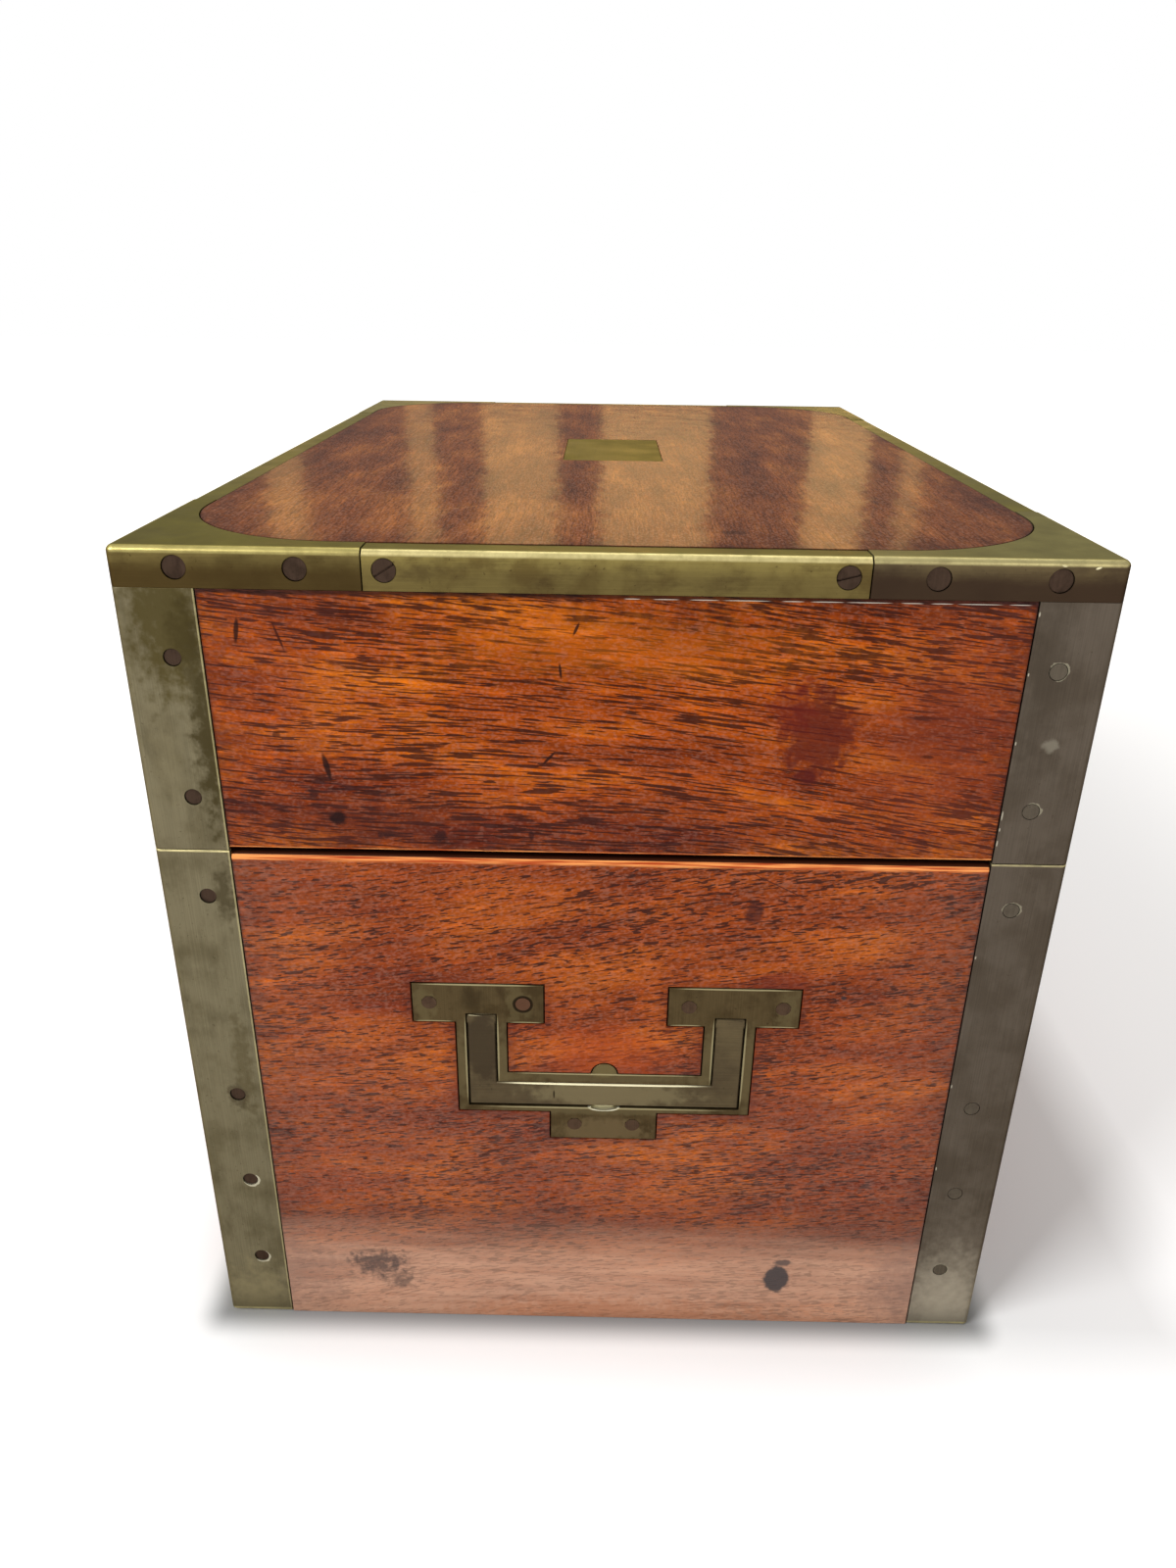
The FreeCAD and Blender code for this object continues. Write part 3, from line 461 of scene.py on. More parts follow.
@dataclass(frozen=True)
class TarnishedBrass:
    """Cast or rolled brass, filed flush and left to tarnish: a drab olive film, rubbed bright on its arrises.

    To the eye it is a dull mottled metal between olive and umber, with fine scratches along its length,
    and a pale yellow line where hands and dusters reach an edge.
    """

    name: str
    pale: str
    drab: str
    dark: str
    rubbed: str = "#d6c993"
    run: Along = Along.Z
    cover: float = 0.5
    patch: float = 16.0
    top: str = ""
    low: float = 0.0
    seam: float = 0.0
    lip: float = 0.0
    roughness: float = 0.42
    sheen: str = "#8a8266"
    marks: tuple[MarkAndPaintedLight, ...] = ()

    def film(self, metal: Surface) -> tuple[object, object]:
        """The tarnish: clouds of two browns over the paler metal, with hairlines and specks.

        Args:
            metal: the material in the making.

        Returns:
            The colour, and the fine hairlines as a value from 0 to 1.
        """
        tree = metal.tree
        clouds = metal.noise(metal.place, self.patch, detail=5.0, roughness=0.6)
        film = add(tree, "MapRange", {"Value": clouds, "From Min": 0.3 + 0.3 * (1 - self.cover),
                                      "From Max": 0.55 + 0.3 * (1 - self.cover)}, interpolation_type="SMOOTHSTEP")
        shade = metal.over(colour(self.pale), colour(self.drab), film)
        stretch = [1.0, 1.0, 1.0]
        stretch[self.run.value] = 2.2
        blotch = metal.noise(metal.place, self.patch * 0.5, tuple(stretch), detail=6.0, roughness=0.65)
        blotch = add(tree, "MapRange", {"Value": blotch, "From Min": 0.48, "From Max": 0.74},
                     interpolation_type="SMOOTHSTEP")
        shade = metal.over(shade, colour(self.dark), blotch, 0.5)
        stretch[self.run.value] = 60.0
        fine = metal.noise(metal.place, 0.35, tuple(stretch), detail=2.0)
        streak = add(tree, "MapRange", {"Value": fine, "From Min": 0.3, "From Max": 0.7, "To Min": 0.9, "To Max": 1.1})
        shade = metal.over(shade, streak, 1.0, way="MULTIPLY")
        specks = metal.noise(metal.place, 0.9, detail=2.0)
        specks = add(tree, "MapRange", {"Value": specks, "From Min": 0.31, "From Max": 0.25})
        return metal.over(shade, colour(self.dark), specks, 0.6), fine

    def faces(self, metal: Surface, shade: object) -> object:
        """The binding's greener top and its darker lower half.

        Args:
            metal: the material in the making.
            shade: the colour beneath.

        Returns:
            The colour of each face.
        """
        tree = metal.tree
        height = add(tree, "SeparateXYZ", {0: metal.place}).outputs["Z"]
        if self.low:
            ragged = metal.noise(metal.place, 5.0, (2, 2, 1), detail=5.0, roughness=0.65)
            level = add(tree, "Math", {0: ragged, 1: 4.0, 2: height}, operation="MULTIPLY_ADD")
            lower = add(tree, "MapRange", {"Value": level, "From Min": 251.5, "From Max": 245.5},
                        interpolation_type="SMOOTHSTEP")
            shade = metal.over(shade, colour(self.dark), lower, self.low)
        if self.top:
            upper = add(tree, "MapRange", {"Value": height, "From Min": 249.0, "From Max": 249.5})
            mottle = metal.noise(metal.place, 9.0, detail=5.0, roughness=0.6)
            mottle = add(tree, "MapRange", {"Value": mottle, "From Min": 0.35, "From Max": 0.7, "To Min": 1.08,
                                            "To Max": 0.84})
            tone = metal.over(colour(self.top), mottle, 1.0, way="MULTIPLY")
            shade = metal.over(shade, tone, upper)
        return shade

    def rubbed_edges(self, metal: Surface, shade: object) -> tuple[object, object]:
        """Bright lines: the top arris of the binding, the corner's arris, the strap's seam and its end.

        Args:
            metal: the material in the making.
            shade: the colour beneath.

        Returns:
            The colour with its bright lines, and the mask of them.
        """
        tree = metal.tree
        reach = metal.beyond((0.0, 0.0, 125.0), (173.0, 118.0, 123.0))
        out = add(tree, "SeparateXYZ", {0: reach}).outputs
        side = add(tree, "Math", {0: out["X"], 1: out["Y"]}, operation="MAXIMUM")
        rim = add(tree, "Math", {0: side, 1: out["Z"]}, operation="ADD")
        rim = add(tree, "MapRange", {"Value": rim, "From Min": 2.15, "From Max": 2.75}, interpolation_type="SMOOTHSTEP")
        corner = add(tree, "Math", {0: out["X"], 1: out["Y"]}, operation="ADD")
        corner = add(tree, "MapRange", {"Value": corner, "From Min": 3.0, "From Max": 3.5, "To Max": 0.3},
                     interpolation_type="SMOOTHSTEP")
        bright = add(tree, "Math", {0: rim, 1: corner}, operation="MAXIMUM")
        middle = (0.0, 0.0, 125.0)
        for strength, centre, half, start in ((self.seam, middle, (500.0, 100.0, 500.0), 0.5),
                                              (self.seam, middle, (155.0, 500.0, 500.0), 0.5),
                                              (self.lip, (0.0, 0.0, 169.65), (500.0, 500.0, 0.25), 0.1)):
            if strength:
                line = metal.near_block(centre, half, start, start - 0.1)
                line = add(tree, "Math", {0: line, 1: strength}, operation="MULTIPLY")
                bright = add(tree, "Math", {0: bright, 1: line}, operation="MAXIMUM")
        fray = metal.noise(metal.place, 4.0, detail=4.0, roughness=0.7)
        fray = add(tree, "MapRange", {"Value": fray, "From Min": 0.3, "From Max": 0.6, "To Min": 0.5, "To Max": 1.0})
        worn = add(tree, "Math", {0: bright, 1: fray}, operation="MULTIPLY")
        return metal.over(shade, colour(self.rubbed), worn, 0.9), worn

    def make(self) -> bpy.types.Material:
        """Builds the material."""
        metal = Surface(self.name)
        tree = metal.tree
        shade, fine = self.film(metal)
        shade = self.faces(metal, shade)
        shade = metal.marked(shade, self.marks)
        shade, worn = self.rubbed_edges(metal, shade)
        haze = metal.noise(metal.place, self.patch, detail=3.0)
        rough = add(tree, "MapRange", {"Value": haze, "From Min": 0.3, "From Max": 0.7,
                                       "To Min": self.roughness - 0.06, "To Max": self.roughness + 0.08})
        rough = add(tree, "Math", {0: worn, 1: -0.1, 2: rough}, operation="MULTIPLY_ADD")
        bump = add(tree, "Bump", {"Height": fine, "Strength": 0.1, "Distance": 0.00004})
        return metal.ends_in(add(tree, "BsdfPrincipled", {
            "Base Color": shade, "Metallic": 0.85, "Roughness": rough, "Specular IOR Level": 0.2,
            "Specular Tint": colour(self.sheen), "Normal": bump}))


@dataclass(frozen=True)
class SpringSteel:
    """Blued spring steel: dark grey, faintly brown, with a low sheen."""

    name: str

    def make(self) -> bpy.types.Material:
        """Builds the material."""
        steel = Surface(self.name)
        clouds = steel.noise(steel.place, 3.0, detail=4.0)
        shade = steel.over(colour("#3d3f46"), colour("#5a4a3c"), clouds)
        return steel.ends_in(add(steel.tree, "BsdfPrincipled", {
            "Base Color": shade, "Metallic": 1.0, "Roughness": 0.35}))


@dataclass(frozen=True)
class Baize:
    """Green woollen baize, raised to a short nap: matt, slightly mottled, faded where papers have rubbed."""

    name: str
    nap: float = 0.6

    def make(self) -> bpy.types.Material:
        """Builds the material."""
        cloth = Surface(self.name)
        tree = cloth.tree
        faded = cloth.noise(cloth.place, 45.0, detail=3.0)
        shade = cloth.over(colour("#2c4a2b"), colour("#4c6238"), faded)
        hairs = cloth.noise(cloth.place, self.nap, detail=2.0)
        tone = add(tree, "MapRange", {"Value": hairs, "From Min": 0.3, "From Max": 0.7, "To Min": 0.7, "To Max": 1.2})
        shade = cloth.over(shade, tone, 1.0, way="MULTIPLY")
        bump = add(tree, "Bump", {"Height": hairs, "Strength": 0.6, "Distance": 0.0003})
        return cloth.ends_in(add(tree, "BsdfPrincipled", {
            "Base Color": shade, "Roughness": 0.95, "Specular IOR Level": 0.2, "Sheen Weight": 0.3,
            "Normal": bump}))


def settle() -> None:
    """Leaves edit mode and selects nothing."""
    if bpy.context.object and bpy.context.object.mode != "OBJECT":
        bpy.ops.object.mode_set(mode="OBJECT")
    bpy.ops.object.select_all(action="DESELECT")


def take(piece: bpy.types.Object) -> bpy.types.Object:
    """Makes one piece the only selected and active one."""
    settle()
    piece.select_set(True)
    bpy.context.view_layer.objects.active = piece
    return piece


@contextmanager
def editing(piece: bpy.types.Object) -> Iterator[bmesh.types.BMesh]:
    """Opens a piece in edit mode with nothing in it selected.

    Args:
        piece: the mesh object.

    Yields:
        The edit mesh, for selecting faces and edges by their place.
    """
    take(piece)
    bpy.ops.object.mode_set(mode="EDIT")
    bpy.ops.mesh.select_mode(type="EDGE")
    bpy.ops.mesh.select_all(action="DESELECT")
    yield bmesh.from_edit_mesh(piece.data)
    bpy.ops.object.mode_set(mode="OBJECT")


def choose(piece: bpy.types.Object, edit: bmesh.types.BMesh, elements: list) -> int:
    """Selects these faces or edges alone.

    Args:
        piece: the object in edit mode.
        edit: its edit mesh.
        elements: what to select.

    Returns:
        How many are selected.
    """
    bpy.ops.mesh.select_all(action="DESELECT")
    for element in elements:
        element.select_set(True)
    bmesh.update_edit_mesh(piece.data)
    return len(elements)


def copy_of(node: str, name: str) -> bpy.types.Object:
    """Copies a construction node's mesh into a new piece, merged and with its flat faces whole.

    Args:
        node: the node's name.
        name: the piece's name.

    Returns:
        The new piece.
    """
    piece = bpy.data.objects.new(name, frame["nodes"][node].data.copy())
    bpy.context.scene.collection.objects.link(piece)
    piece.data.materials.clear()
    with editing(piece):
        bpy.ops.mesh.select_all(action="SELECT")
        bpy.ops.mesh.remove_doubles(threshold=2.0e-6)
        bpy.ops.mesh.customdata_custom_splitnormals_clear()
        bpy.ops.mesh.dissolve_limited(angle_limit=math.radians(0.6))
    return piece


def ease(piece: bpy.types.Object, width: float, segments: int = 2,
         where: Callable[[Vector], bool] = lambda middle: True, sharp: float = 30.0) -> None:
    """Rounds the sharp edges of a piece.

    Args:
        piece: the piece.
        width: the rounding's width in millimetres.
        segments: how many facets it has.
        where: tells from an edge's middle, in millimetres, whether the edge is meant.
        sharp: the least angle in degrees between an edge's faces.
    """
    with editing(piece) as edit:
        edges = [e for e in edit.edges if e.is_manifold and e.calc_face_angle(0.0) > math.radians(sharp)
                 and where((e.verts[0].co + e.verts[1].co) / 2 / MM)]
        if choose(piece, edit, edges):
            bpy.ops.mesh.bevel(offset=width * MM, segments=segments, affect="EDGES", clamp_overlap=False)


def cut(piece: bpy.types.Object, tool: bpy.types.Object) -> None:
    """Takes the tool's space out of the piece, and the tool away."""
    take(piece)
    bore = piece.modifiers.new("bore", "BOOLEAN")
    bore.operation = "DIFFERENCE"
    bore.solver = "EXACT"
    bore.object = tool
    bpy.ops.object.modifier_apply(modifier=bore.name)
    bpy.data.objects.remove(tool)


def join(pieces: list[bpy.types.Object], name: str) -> bpy.types.Object:
    """Joins several objects into one piece of that name."""
    take(pieces[0])
    for other in pieces[1:]:
        other.select_set(True)
    bpy.ops.object.join()
    pieces[0].name = name
    return pieces[0]


def dress(piece: bpy.types.Object, material: bpy.types.Material, body: str,
          stands_for: tuple[str, ...] = (), smooth: float = 50.0) -> bpy.types.Object:
    """Finishes a piece: shading, material and the body that it moves with.

    Args:
        piece: the piece.
        material: its finish.
        body: the body that it rides on.
        stands_for: the construction nodes that it replaces.
        smooth: the angle in degrees up to which faces shade as one.

    Returns:
        The piece.
    """
    take(piece)
    bpy.ops.object.shade_smooth_by_angle(angle=math.radians(smooth))
    even = piece.modifiers.new("even", "WEIGHTED_NORMAL")
    even.keep_sharp = True
    bpy.ops.object.modifier_apply(modifier=even.name)
    piece.data.materials.clear()
    piece.data.materials.append(material)
    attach(piece, body)
    if stands_for:
        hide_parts(*stands_for)
    log.info("%s rides on %s: %d faces", piece.name, body, len(piece.data.polygons))
    return piece


def eased_copy(node: str, material: bpy.types.Material, width: float = 0.15, segments: int = 2,
               body: str = "") -> bpy.types.Object:
    """Stands a softened copy of a construction node in its place.

    Args:
        node: the node's name.
        material: its finish.
        width: how wide its edges are eased, in millimetres; 0 leaves them.
        segments: how many facets the easing has.
        body: the body, where it isn't the node's own.

    Returns:
        The dressed piece.
    """
    piece = copy_of(node, node + "_eased")
    if width:
        ease(piece, width, segments)
    return dress(piece, material, body or frame["nodes"][node]["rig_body"], (node,))


class Screws(Enum):
    """How a screw's head was left."""

    SLOTTED = "slotted"
    FILED = "filed"
    SUNK = "sunk"


@dataclass
class WoodScrew:
    """A countersunk brass wood screw. Its head is level with the brass, and most slots are filed away."""

    radius: float = 2.15
    length: float = 8.0
    left: Screws = Screws.FILED
    head_share: float = 0.55
    neck_share: float = 0.5
    slot_width: float = 0.5
    slot_depth: float = 0.45
    rim_ease: float = 0.08
    sides: int = 32
    hole_gap: float = 0.14
    sink: dict[Screws, float] = field(default_factory=lambda: {
        Screws.SLOTTED: 0.05, Screws.FILED: 0.02, Screws.SUNK: 0.35})

    def model(self) -> bpy.types.Object:
        """Models the screw with its head's face at the origin, pointing up.

        Returns:
            The screw.
        """
        head = self.radius * self.head_share
        bpy.ops.mesh.primitive_cylinder_add(vertices=self.sides, radius=self.radius * MM, depth=head * MM,
                                            location=(0, 0, -head / 2 * MM))
        screw = bpy.context.object
        bpy.ops.object.transform_apply(location=True, rotation=True, scale=True)
        with editing(screw) as edit:
            bpy.ops.mesh.select_mode(type="FACE")
            choose(screw, edit, [f for f in edit.faces if f.normal.z < -0.9])
            bpy.ops.transform.resize(value=(self.neck_share,) * 2 + (1,), center_override=(0, 0, 0))
            bpy.ops.mesh.extrude_region_move(
                TRANSFORM_OT_translate={"value": (0, 0, -(self.length - head) * 0.6 * MM)})
            bpy.ops.mesh.extrude_region_move(
                TRANSFORM_OT_translate={"value": (0, 0, -(self.length - head) * 0.4 * MM)})
            bpy.ops.transform.resize(value=(0.15, 0.15, 1), center_override=(0, 0, 0))
        ease(screw, self.rim_ease, 2, lambda middle: middle.z > -0.01)
        if self.left is Screws.SLOTTED:
            self.saw_slot(screw)
        return screw

    def saw_slot(self, screw: bpy.types.Object) -> None:
        """Saws the slot across the head's face."""
        half = self.slot_width / 2
        with editing(screw) as edit:
            bpy.ops.mesh.select_mode(type="FACE")
            for side in (-half, half):
                edit = bmesh.from_edit_mesh(screw.data)
                choose(screw, edit, [f for f in edit.faces if f.normal.z > 0.1])
                bpy.ops.mesh.bisect(plane_co=(0, side * MM, 0), plane_no=(0, 1, 0))
            edit = bmesh.from_edit_mesh(screw.data)
            floor = [f for f in edit.faces if f.normal.z > 0.1 and abs(f.calc_center_median().y) < half * MM]
            choose(screw, edit, floor)
            bpy.ops.mesh.extrude_region_move(TRANSFORM_OT_translate={"value": (0, 0, -self.slot_depth * MM)})

    def driven(self, places: list[tuple[Triple, Vector]], name: str, seed: int) -> bpy.types.Object:
        """Copies the screw to each place and joins the copies into one piece.

        Args:
            places: each head's centre in millimetres, and the way that its face looks.
            name: the piece's name.
            seed: the seed of how the slots are turned.

        Returns:
            The screws.
        """
        turns = random.Random(seed)
        pattern = self.model()
        made = []
        for centre, outward in places:
            copy = bpy.data.objects.new(name, pattern.data.copy())
            bpy.context.scene.collection.objects.link(copy)
            facing = outward.to_track_quat("Z", "Y") @ Quaternion((0, 0, 1), turns.uniform(-0.7, 0.7))
            sunk = Vector(centre) - outward * self.sink[self.left]
            copy.data.transform(Matrix.LocRotScale(sunk * MM, facing, None))
            made.append(copy)
        bpy.data.objects.remove(pattern)
        return join(made, name)

    def bores(self, places: list[tuple[Triple, Vector]], depth: float) -> bpy.types.Object:
        """The tool that cuts the heads' holes.

        Args:
            places: the heads' centres and outward directions.
            depth: how deep the holes go.

        Returns:
            The joined cylinders.
        """
        made = []
        for centre, outward in places:
            bpy.ops.mesh.primitive_cylinder_add(
                vertices=self.sides, radius=(self.radius + self.hole_gap) * MM, depth=2 * depth * MM,
                location=Vector(centre) * MM, rotation=outward.to_track_quat("Z", "Y").to_euler())
            made.append(bpy.context.object)
            bpy.ops.object.transform_apply(location=True, rotation=True, scale=True)
        return join(made, "bore_tool")


def solids_of(node: str) -> list[tuple[Vector, Vector]]:
    """The box of each separate solid in a construction node.

    Args:
        node: the node's name.

    Returns:
        The lowest and highest corner of each, in millimetres.
    """
    probe = copy_of(node, "probe")
    take(probe)
    bpy.ops.object.mode_set(mode="EDIT")
    bpy.ops.mesh.separate(type="LOOSE")
    bpy.ops.object.mode_set(mode="OBJECT")
    found = []
    for part in list(bpy.context.selected_objects):
        corners = [v.co / MM for v in part.data.vertices]
        low = Vector(min(c[axis] for c in corners) for axis in range(3))
        high = Vector(max(c[axis] for c in corners) for axis in range(3))
        found.append((low, high))
        bpy.data.objects.remove(part)
    return sorted(found, key=lambda box: tuple(round(c, 2) for c in box[0]))


def screws_like(node: str, outward: Vector, material: bpy.types.Material, left: Screws, seed: int) -> None:
    """Stands finely modelled screws in the place of a construction node's plain ones.

    Args:
        node: the screws' node.
        outward: the way that their heads face.
        material: their finish.
        left: how their heads were left.
        seed: the seed of how the slots are turned.
    """
    places = []
    radius = length = 0.0
    axis = max(range(3), key=lambda a: abs(outward[a]))
    for low, high in solids_of(node):
        centre = (low + high) / 2
        centre[axis] = high[axis] if outward[axis] > 0 else low[axis]
        places.append((tuple(centre), outward))
        radius = max((high - low)[a] for a in range(3) if a != axis) / 2
        length = (high - low)[axis]
    screw = WoodScrew(radius=radius, length=length, left=left)
    screw.sink = {state: 0.0 for state in Screws}
    piece = screw.driven(places, node + "_turned", seed)
    dress(piece, material, frame["nodes"][node]["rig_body"], (node,), smooth=35.0)


@dataclass
class Finishes:
    """Every finish of the box, made once."""

    def __post_init__(self) -> None:
        """Builds the materials."""
        end_marks_and_glare = (
            MarkAndPaintedLight((175, 5.0, 3.0), (30, 85.0, 9.0), shade="#a05a30", strength=0.4, ragged=0.5, core=0.9),
            # Painted reflection: a dimmer, greyer floor glare at the two ends of the foot.
            MarkAndPaintedLight((175, -98.0, 18.0), (30, 30.0, 24.0), shade="#74594f", strength=0.5, ragged=0.4, core=0.9),
            MarkAndPaintedLight((175, 98.0, 16.0), (30, 22.0, 30.0), shade="#7a5e54", strength=0.55, ragged=0.4, core=0.9),
            MarkAndPaintedLight((175, 39.3, 153.8), (30, 3.2, 4.2), shade="#3b1510", strength=0.75),
            MarkAndPaintedLight((175, -70.9, 22.0), (30, 13.0, 8.0), shade="#2e2c2f", strength=0.75, ragged=0.7, core=0.8),
            MarkAndPaintedLight((175, -63.0, 15.0), (30, 7.0, 4.4), shade="#2e2c2f", strength=0.6, ragged=0.7, core=0.8),
            MarkAndPaintedLight((175, 56.2, 19.0), (30, 4.6, 6.6), shade="#403a3a", strength=0.95, ragged=0.2, core=0.3),
            MarkAndPaintedLight((175, 57.6, 26.0), (30, 3.4, 1.6), shade="#403a3a", strength=0.8, ragged=0.3),
            MarkAndPaintedLight((175, 0.0, 106.0), (30, 29.0, 15.0), shade="#b5480f", strength=0.35, ragged=0.3, core=0.8),
            MarkAndPaintedLight((175, 45.5, 162.0), (30, 14.5, 0.22), turned=-26.5, shade="#4a2013", ragged=0.02),
            MarkAndPaintedLight((175, 48.0, 131.5), (30, 9.0, 5.0), shade="#6a2413", strength=0.45, ragged=0.5),
            MarkAndPaintedLight((175, 66.0, 127.0), (30, 1.1, 0.9), shade="#2d2426"),
            MarkAndPaintedLight((175, -47.0, 118.0), (30, 0.9, 0.8), shade="#2d2426", strength=0.6),
        )
        lid_marks = (
            MarkAndPaintedLight((175, 2.0, 227.0), (30, 72.0, 13.0), shade="#c4690f", strength=0.28, ragged=0.4, core=0.9),
            MarkAndPaintedLight((175, -62.0, 179.0), (30, 44.0, 11.0), shade="#3f1a14", strength=0.45, ragged=0.5, core=0.9),
            MarkAndPaintedLight((175, 82.0, 203.0), (30, 30.0, 42.0), shade="#6e2e1e", strength=0.4, ragged=0.4, core=0.9),
            MarkAndPaintedLight((175, 51.0, 205.5), (30, 12.5, 15.0), shade="#4f1812", strength=0.8, ragged=0.4, core=0.5),
            MarkAndPaintedLight((175, 44.0, 213.0), (30, 8.0, 9.0), shade="#5f1a12", strength=0.5, ragged=0.5),
            MarkAndPaintedLight((175, 49.1, 194.2), (30, 3.6, 2.6), shade="#4a1512", strength=0.75),
            MarkAndPaintedLight((175, -70.4, 180.0), (30, 2.8, 2.5), shade="#1c0c0c", strength=0.9),
            *(MarkAndPaintedLight((175, y, z), (30, wide, 1.7), shade="#2a1413", strength=0.75, ragged=0.6)
              for y, z, wide in ((-58.4, 175.6, 3.0), (-44.4, 175.3, 2.6), (-76.0, 187.3, 2.2), (-20.4, 175.9, 0.9))),
            MarkAndPaintedLight((175, -72.2, 194.6), (30, 1.0, 4.8), turned=12.0, shade="#1d0e0b", ragged=0.1),
            MarkAndPaintedLight((175, -15.8, 197.9), (30, 0.5, 3.0), turned=-42.0, shade="#1d0e0b", ragged=0.05),
            MarkAndPaintedLight((175, -9.2, 231.6), (30, 0.5, 2.2), turned=-24.0, shade="#1d0e0b", ragged=0.05),
            MarkAndPaintedLight((175, -91.0, 230.0), (30, 0.8, 4.2), turned=-8.0, shade="#1d0e0b", ragged=0.1),
            MarkAndPaintedLight((175, -81.0, 228.5), (30, 0.45, 4.4), turned=18.0, shade="#3a160c", ragged=0.1),
            MarkAndPaintedLight((175, -13.0, 221.0), (30, 0.45, 2.6), turned=6.0, shade="#1d0e0b", ragged=0.05),
            MarkAndPaintedLight((175, -84.0, 203.0), (30, 1.4, 1.0), shade="#2c0f0a", strength=0.7),
            MarkAndPaintedLight((175, 79.0, 200.0), (30, 2.2, 0.7), shade="#2c0f0a", strength=0.7),
            *(MarkAndPaintedLight((175, y, 239.15), (30, wide, 0.13), shade="#c4bcae", strength=0.75, ragged=0.05, core=0.3)
              for y, wide in ((4, 2.2), (12, 3.5), (21, 4), (31, 6.5), (42, 3), (50, 4.5), (60, 6), (70, 3),
                              (77, 3), (86, 6), (95.5, 3))),
        )
        top_marks = (
            MarkAndPaintedLight((150, 30.0, 250), (3.0, 5.0, 30), shade="#2b150c", strength=0.5),
            MarkAndPaintedLight((95, -62.0, 250), (0.25, 30.0, 40), turned=38.0, shade="#c98a4c", strength=0.4, ragged=0.02),
            MarkAndPaintedLight((120, -40.0, 250), (0.25, 26.0, 40), turned=34.0, shade="#c98a4c", strength=0.4, ragged=0.02),
        )
        left_marks_and_glints = (
            MarkAndPaintedLight((175, -108.0, 233.0), (30, 14.0, 30.0), shade="#443b1f", strength=0.9, ragged=0.4, core=0.7),
            MarkAndPaintedLight((175, -104.0, 228.0), (30, 6.0, 13.0), shade="#352d17", strength=0.6, ragged=0.5, core=0.8),
            MarkAndPaintedLight((175, -101.4, 203.0), (30, 5.4, 38.0), shade="#38301a", strength=0.9, ragged=0.5, core=0.7),
            MarkAndPaintedLight((175, -113.0, 195.0), (30, 6.0, 20.0), shade="#6c634a", strength=0.35, ragged=0.5, core=0.8),
            MarkAndPaintedLight((175, -103.0, 158.0), (30, 4.5, 12.0), shade="#39311f", strength=0.75, ragged=0.5, core=0.7),
            MarkAndPaintedLight((175, -104.5, 100.0), (30, 4.0, 26.0), shade="#443a22", strength=0.5, ragged=0.6, core=0.8),
            MarkAndPaintedLight((175, -107.0, 88.0), (30, 4.0, 6.0), shade="#3a3122", strength=0.6, ragged=0.6, core=0.6),
            # Paler towards the foot.
            MarkAndPaintedLight((175, -110.0, 2.0), (30, 20.0, 26.0), shade="#8a7f5f", strength=0.85, ragged=0.3, core=0.9),
            # Painted glints: pale crescents just below the two low screw heads.
            *(MarkAndPaintedLight((175, -107.0, z - 0.4), (30, 2.6, 2.6), shade="#c9c3aa", strength=0.6, ragged=0.2, core=0.1)
              for z in (24.5, 56.3)),
        )
        right_marks_and_glints = (
            MarkAndPaintedLight((175, 104.0, 222.0), (30, 9.0, 42.0), shade="#3e362d", strength=0.5, ragged=0.4, core=0.9),
            # Paler towards the foot.
            MarkAndPaintedLight((175, 110.0, 6.0), (30, 26.0, 62.0), shade="#7c7264", strength=0.55, ragged=0.2, core=1.0),
            MarkAndPaintedLight((175, 110.0, 2.0), (30, 24.0, 40.0), shade="#b0a692", strength=0.85, ragged=0.14, core=1.0),
            MarkAndPaintedLight((175, 109.0, 203.5), (30, 2.6, 2.2), shade="#7d7668", strength=0.6, ragged=0.4, core=0.6),
            # Painted highlights: pale broken rings round the screw heads.
            *(MarkAndPaintedLight((175, 107.6, z + 0.2), (30, 2.5, 2.5), shade="#918a75", strength=0.6, ragged=0.3, core=0.08)
              for z in (24.5, 156.0, 185.3, 222.8)),
            *(MarkAndPaintedLight((175, 100.3, z), (30, 0.22, tall), shade="#b0a996", strength=0.7, ragged=0.1, core=0.3)
              for z, tall in ((237, 0.7), (222, 0.5), (204, 0.6), (184, 1.6), (180, 0.6), (176, 1.0), (141, 0.6),
                              (97, 0.7), (66, 0.8))),
        )
        mount_nicks = (
            MarkAndPaintedLight((175, 112.0, 248.2), (30, 0.9, 0.35), turned=20.0, shade="#d8cfa6", ragged=0.1),
            MarkAndPaintedLight((175, 104.0, 248.6), (30, 0.8, 0.3), turned=-10.0, shade="#d8cfa6", ragged=0.1),
        )
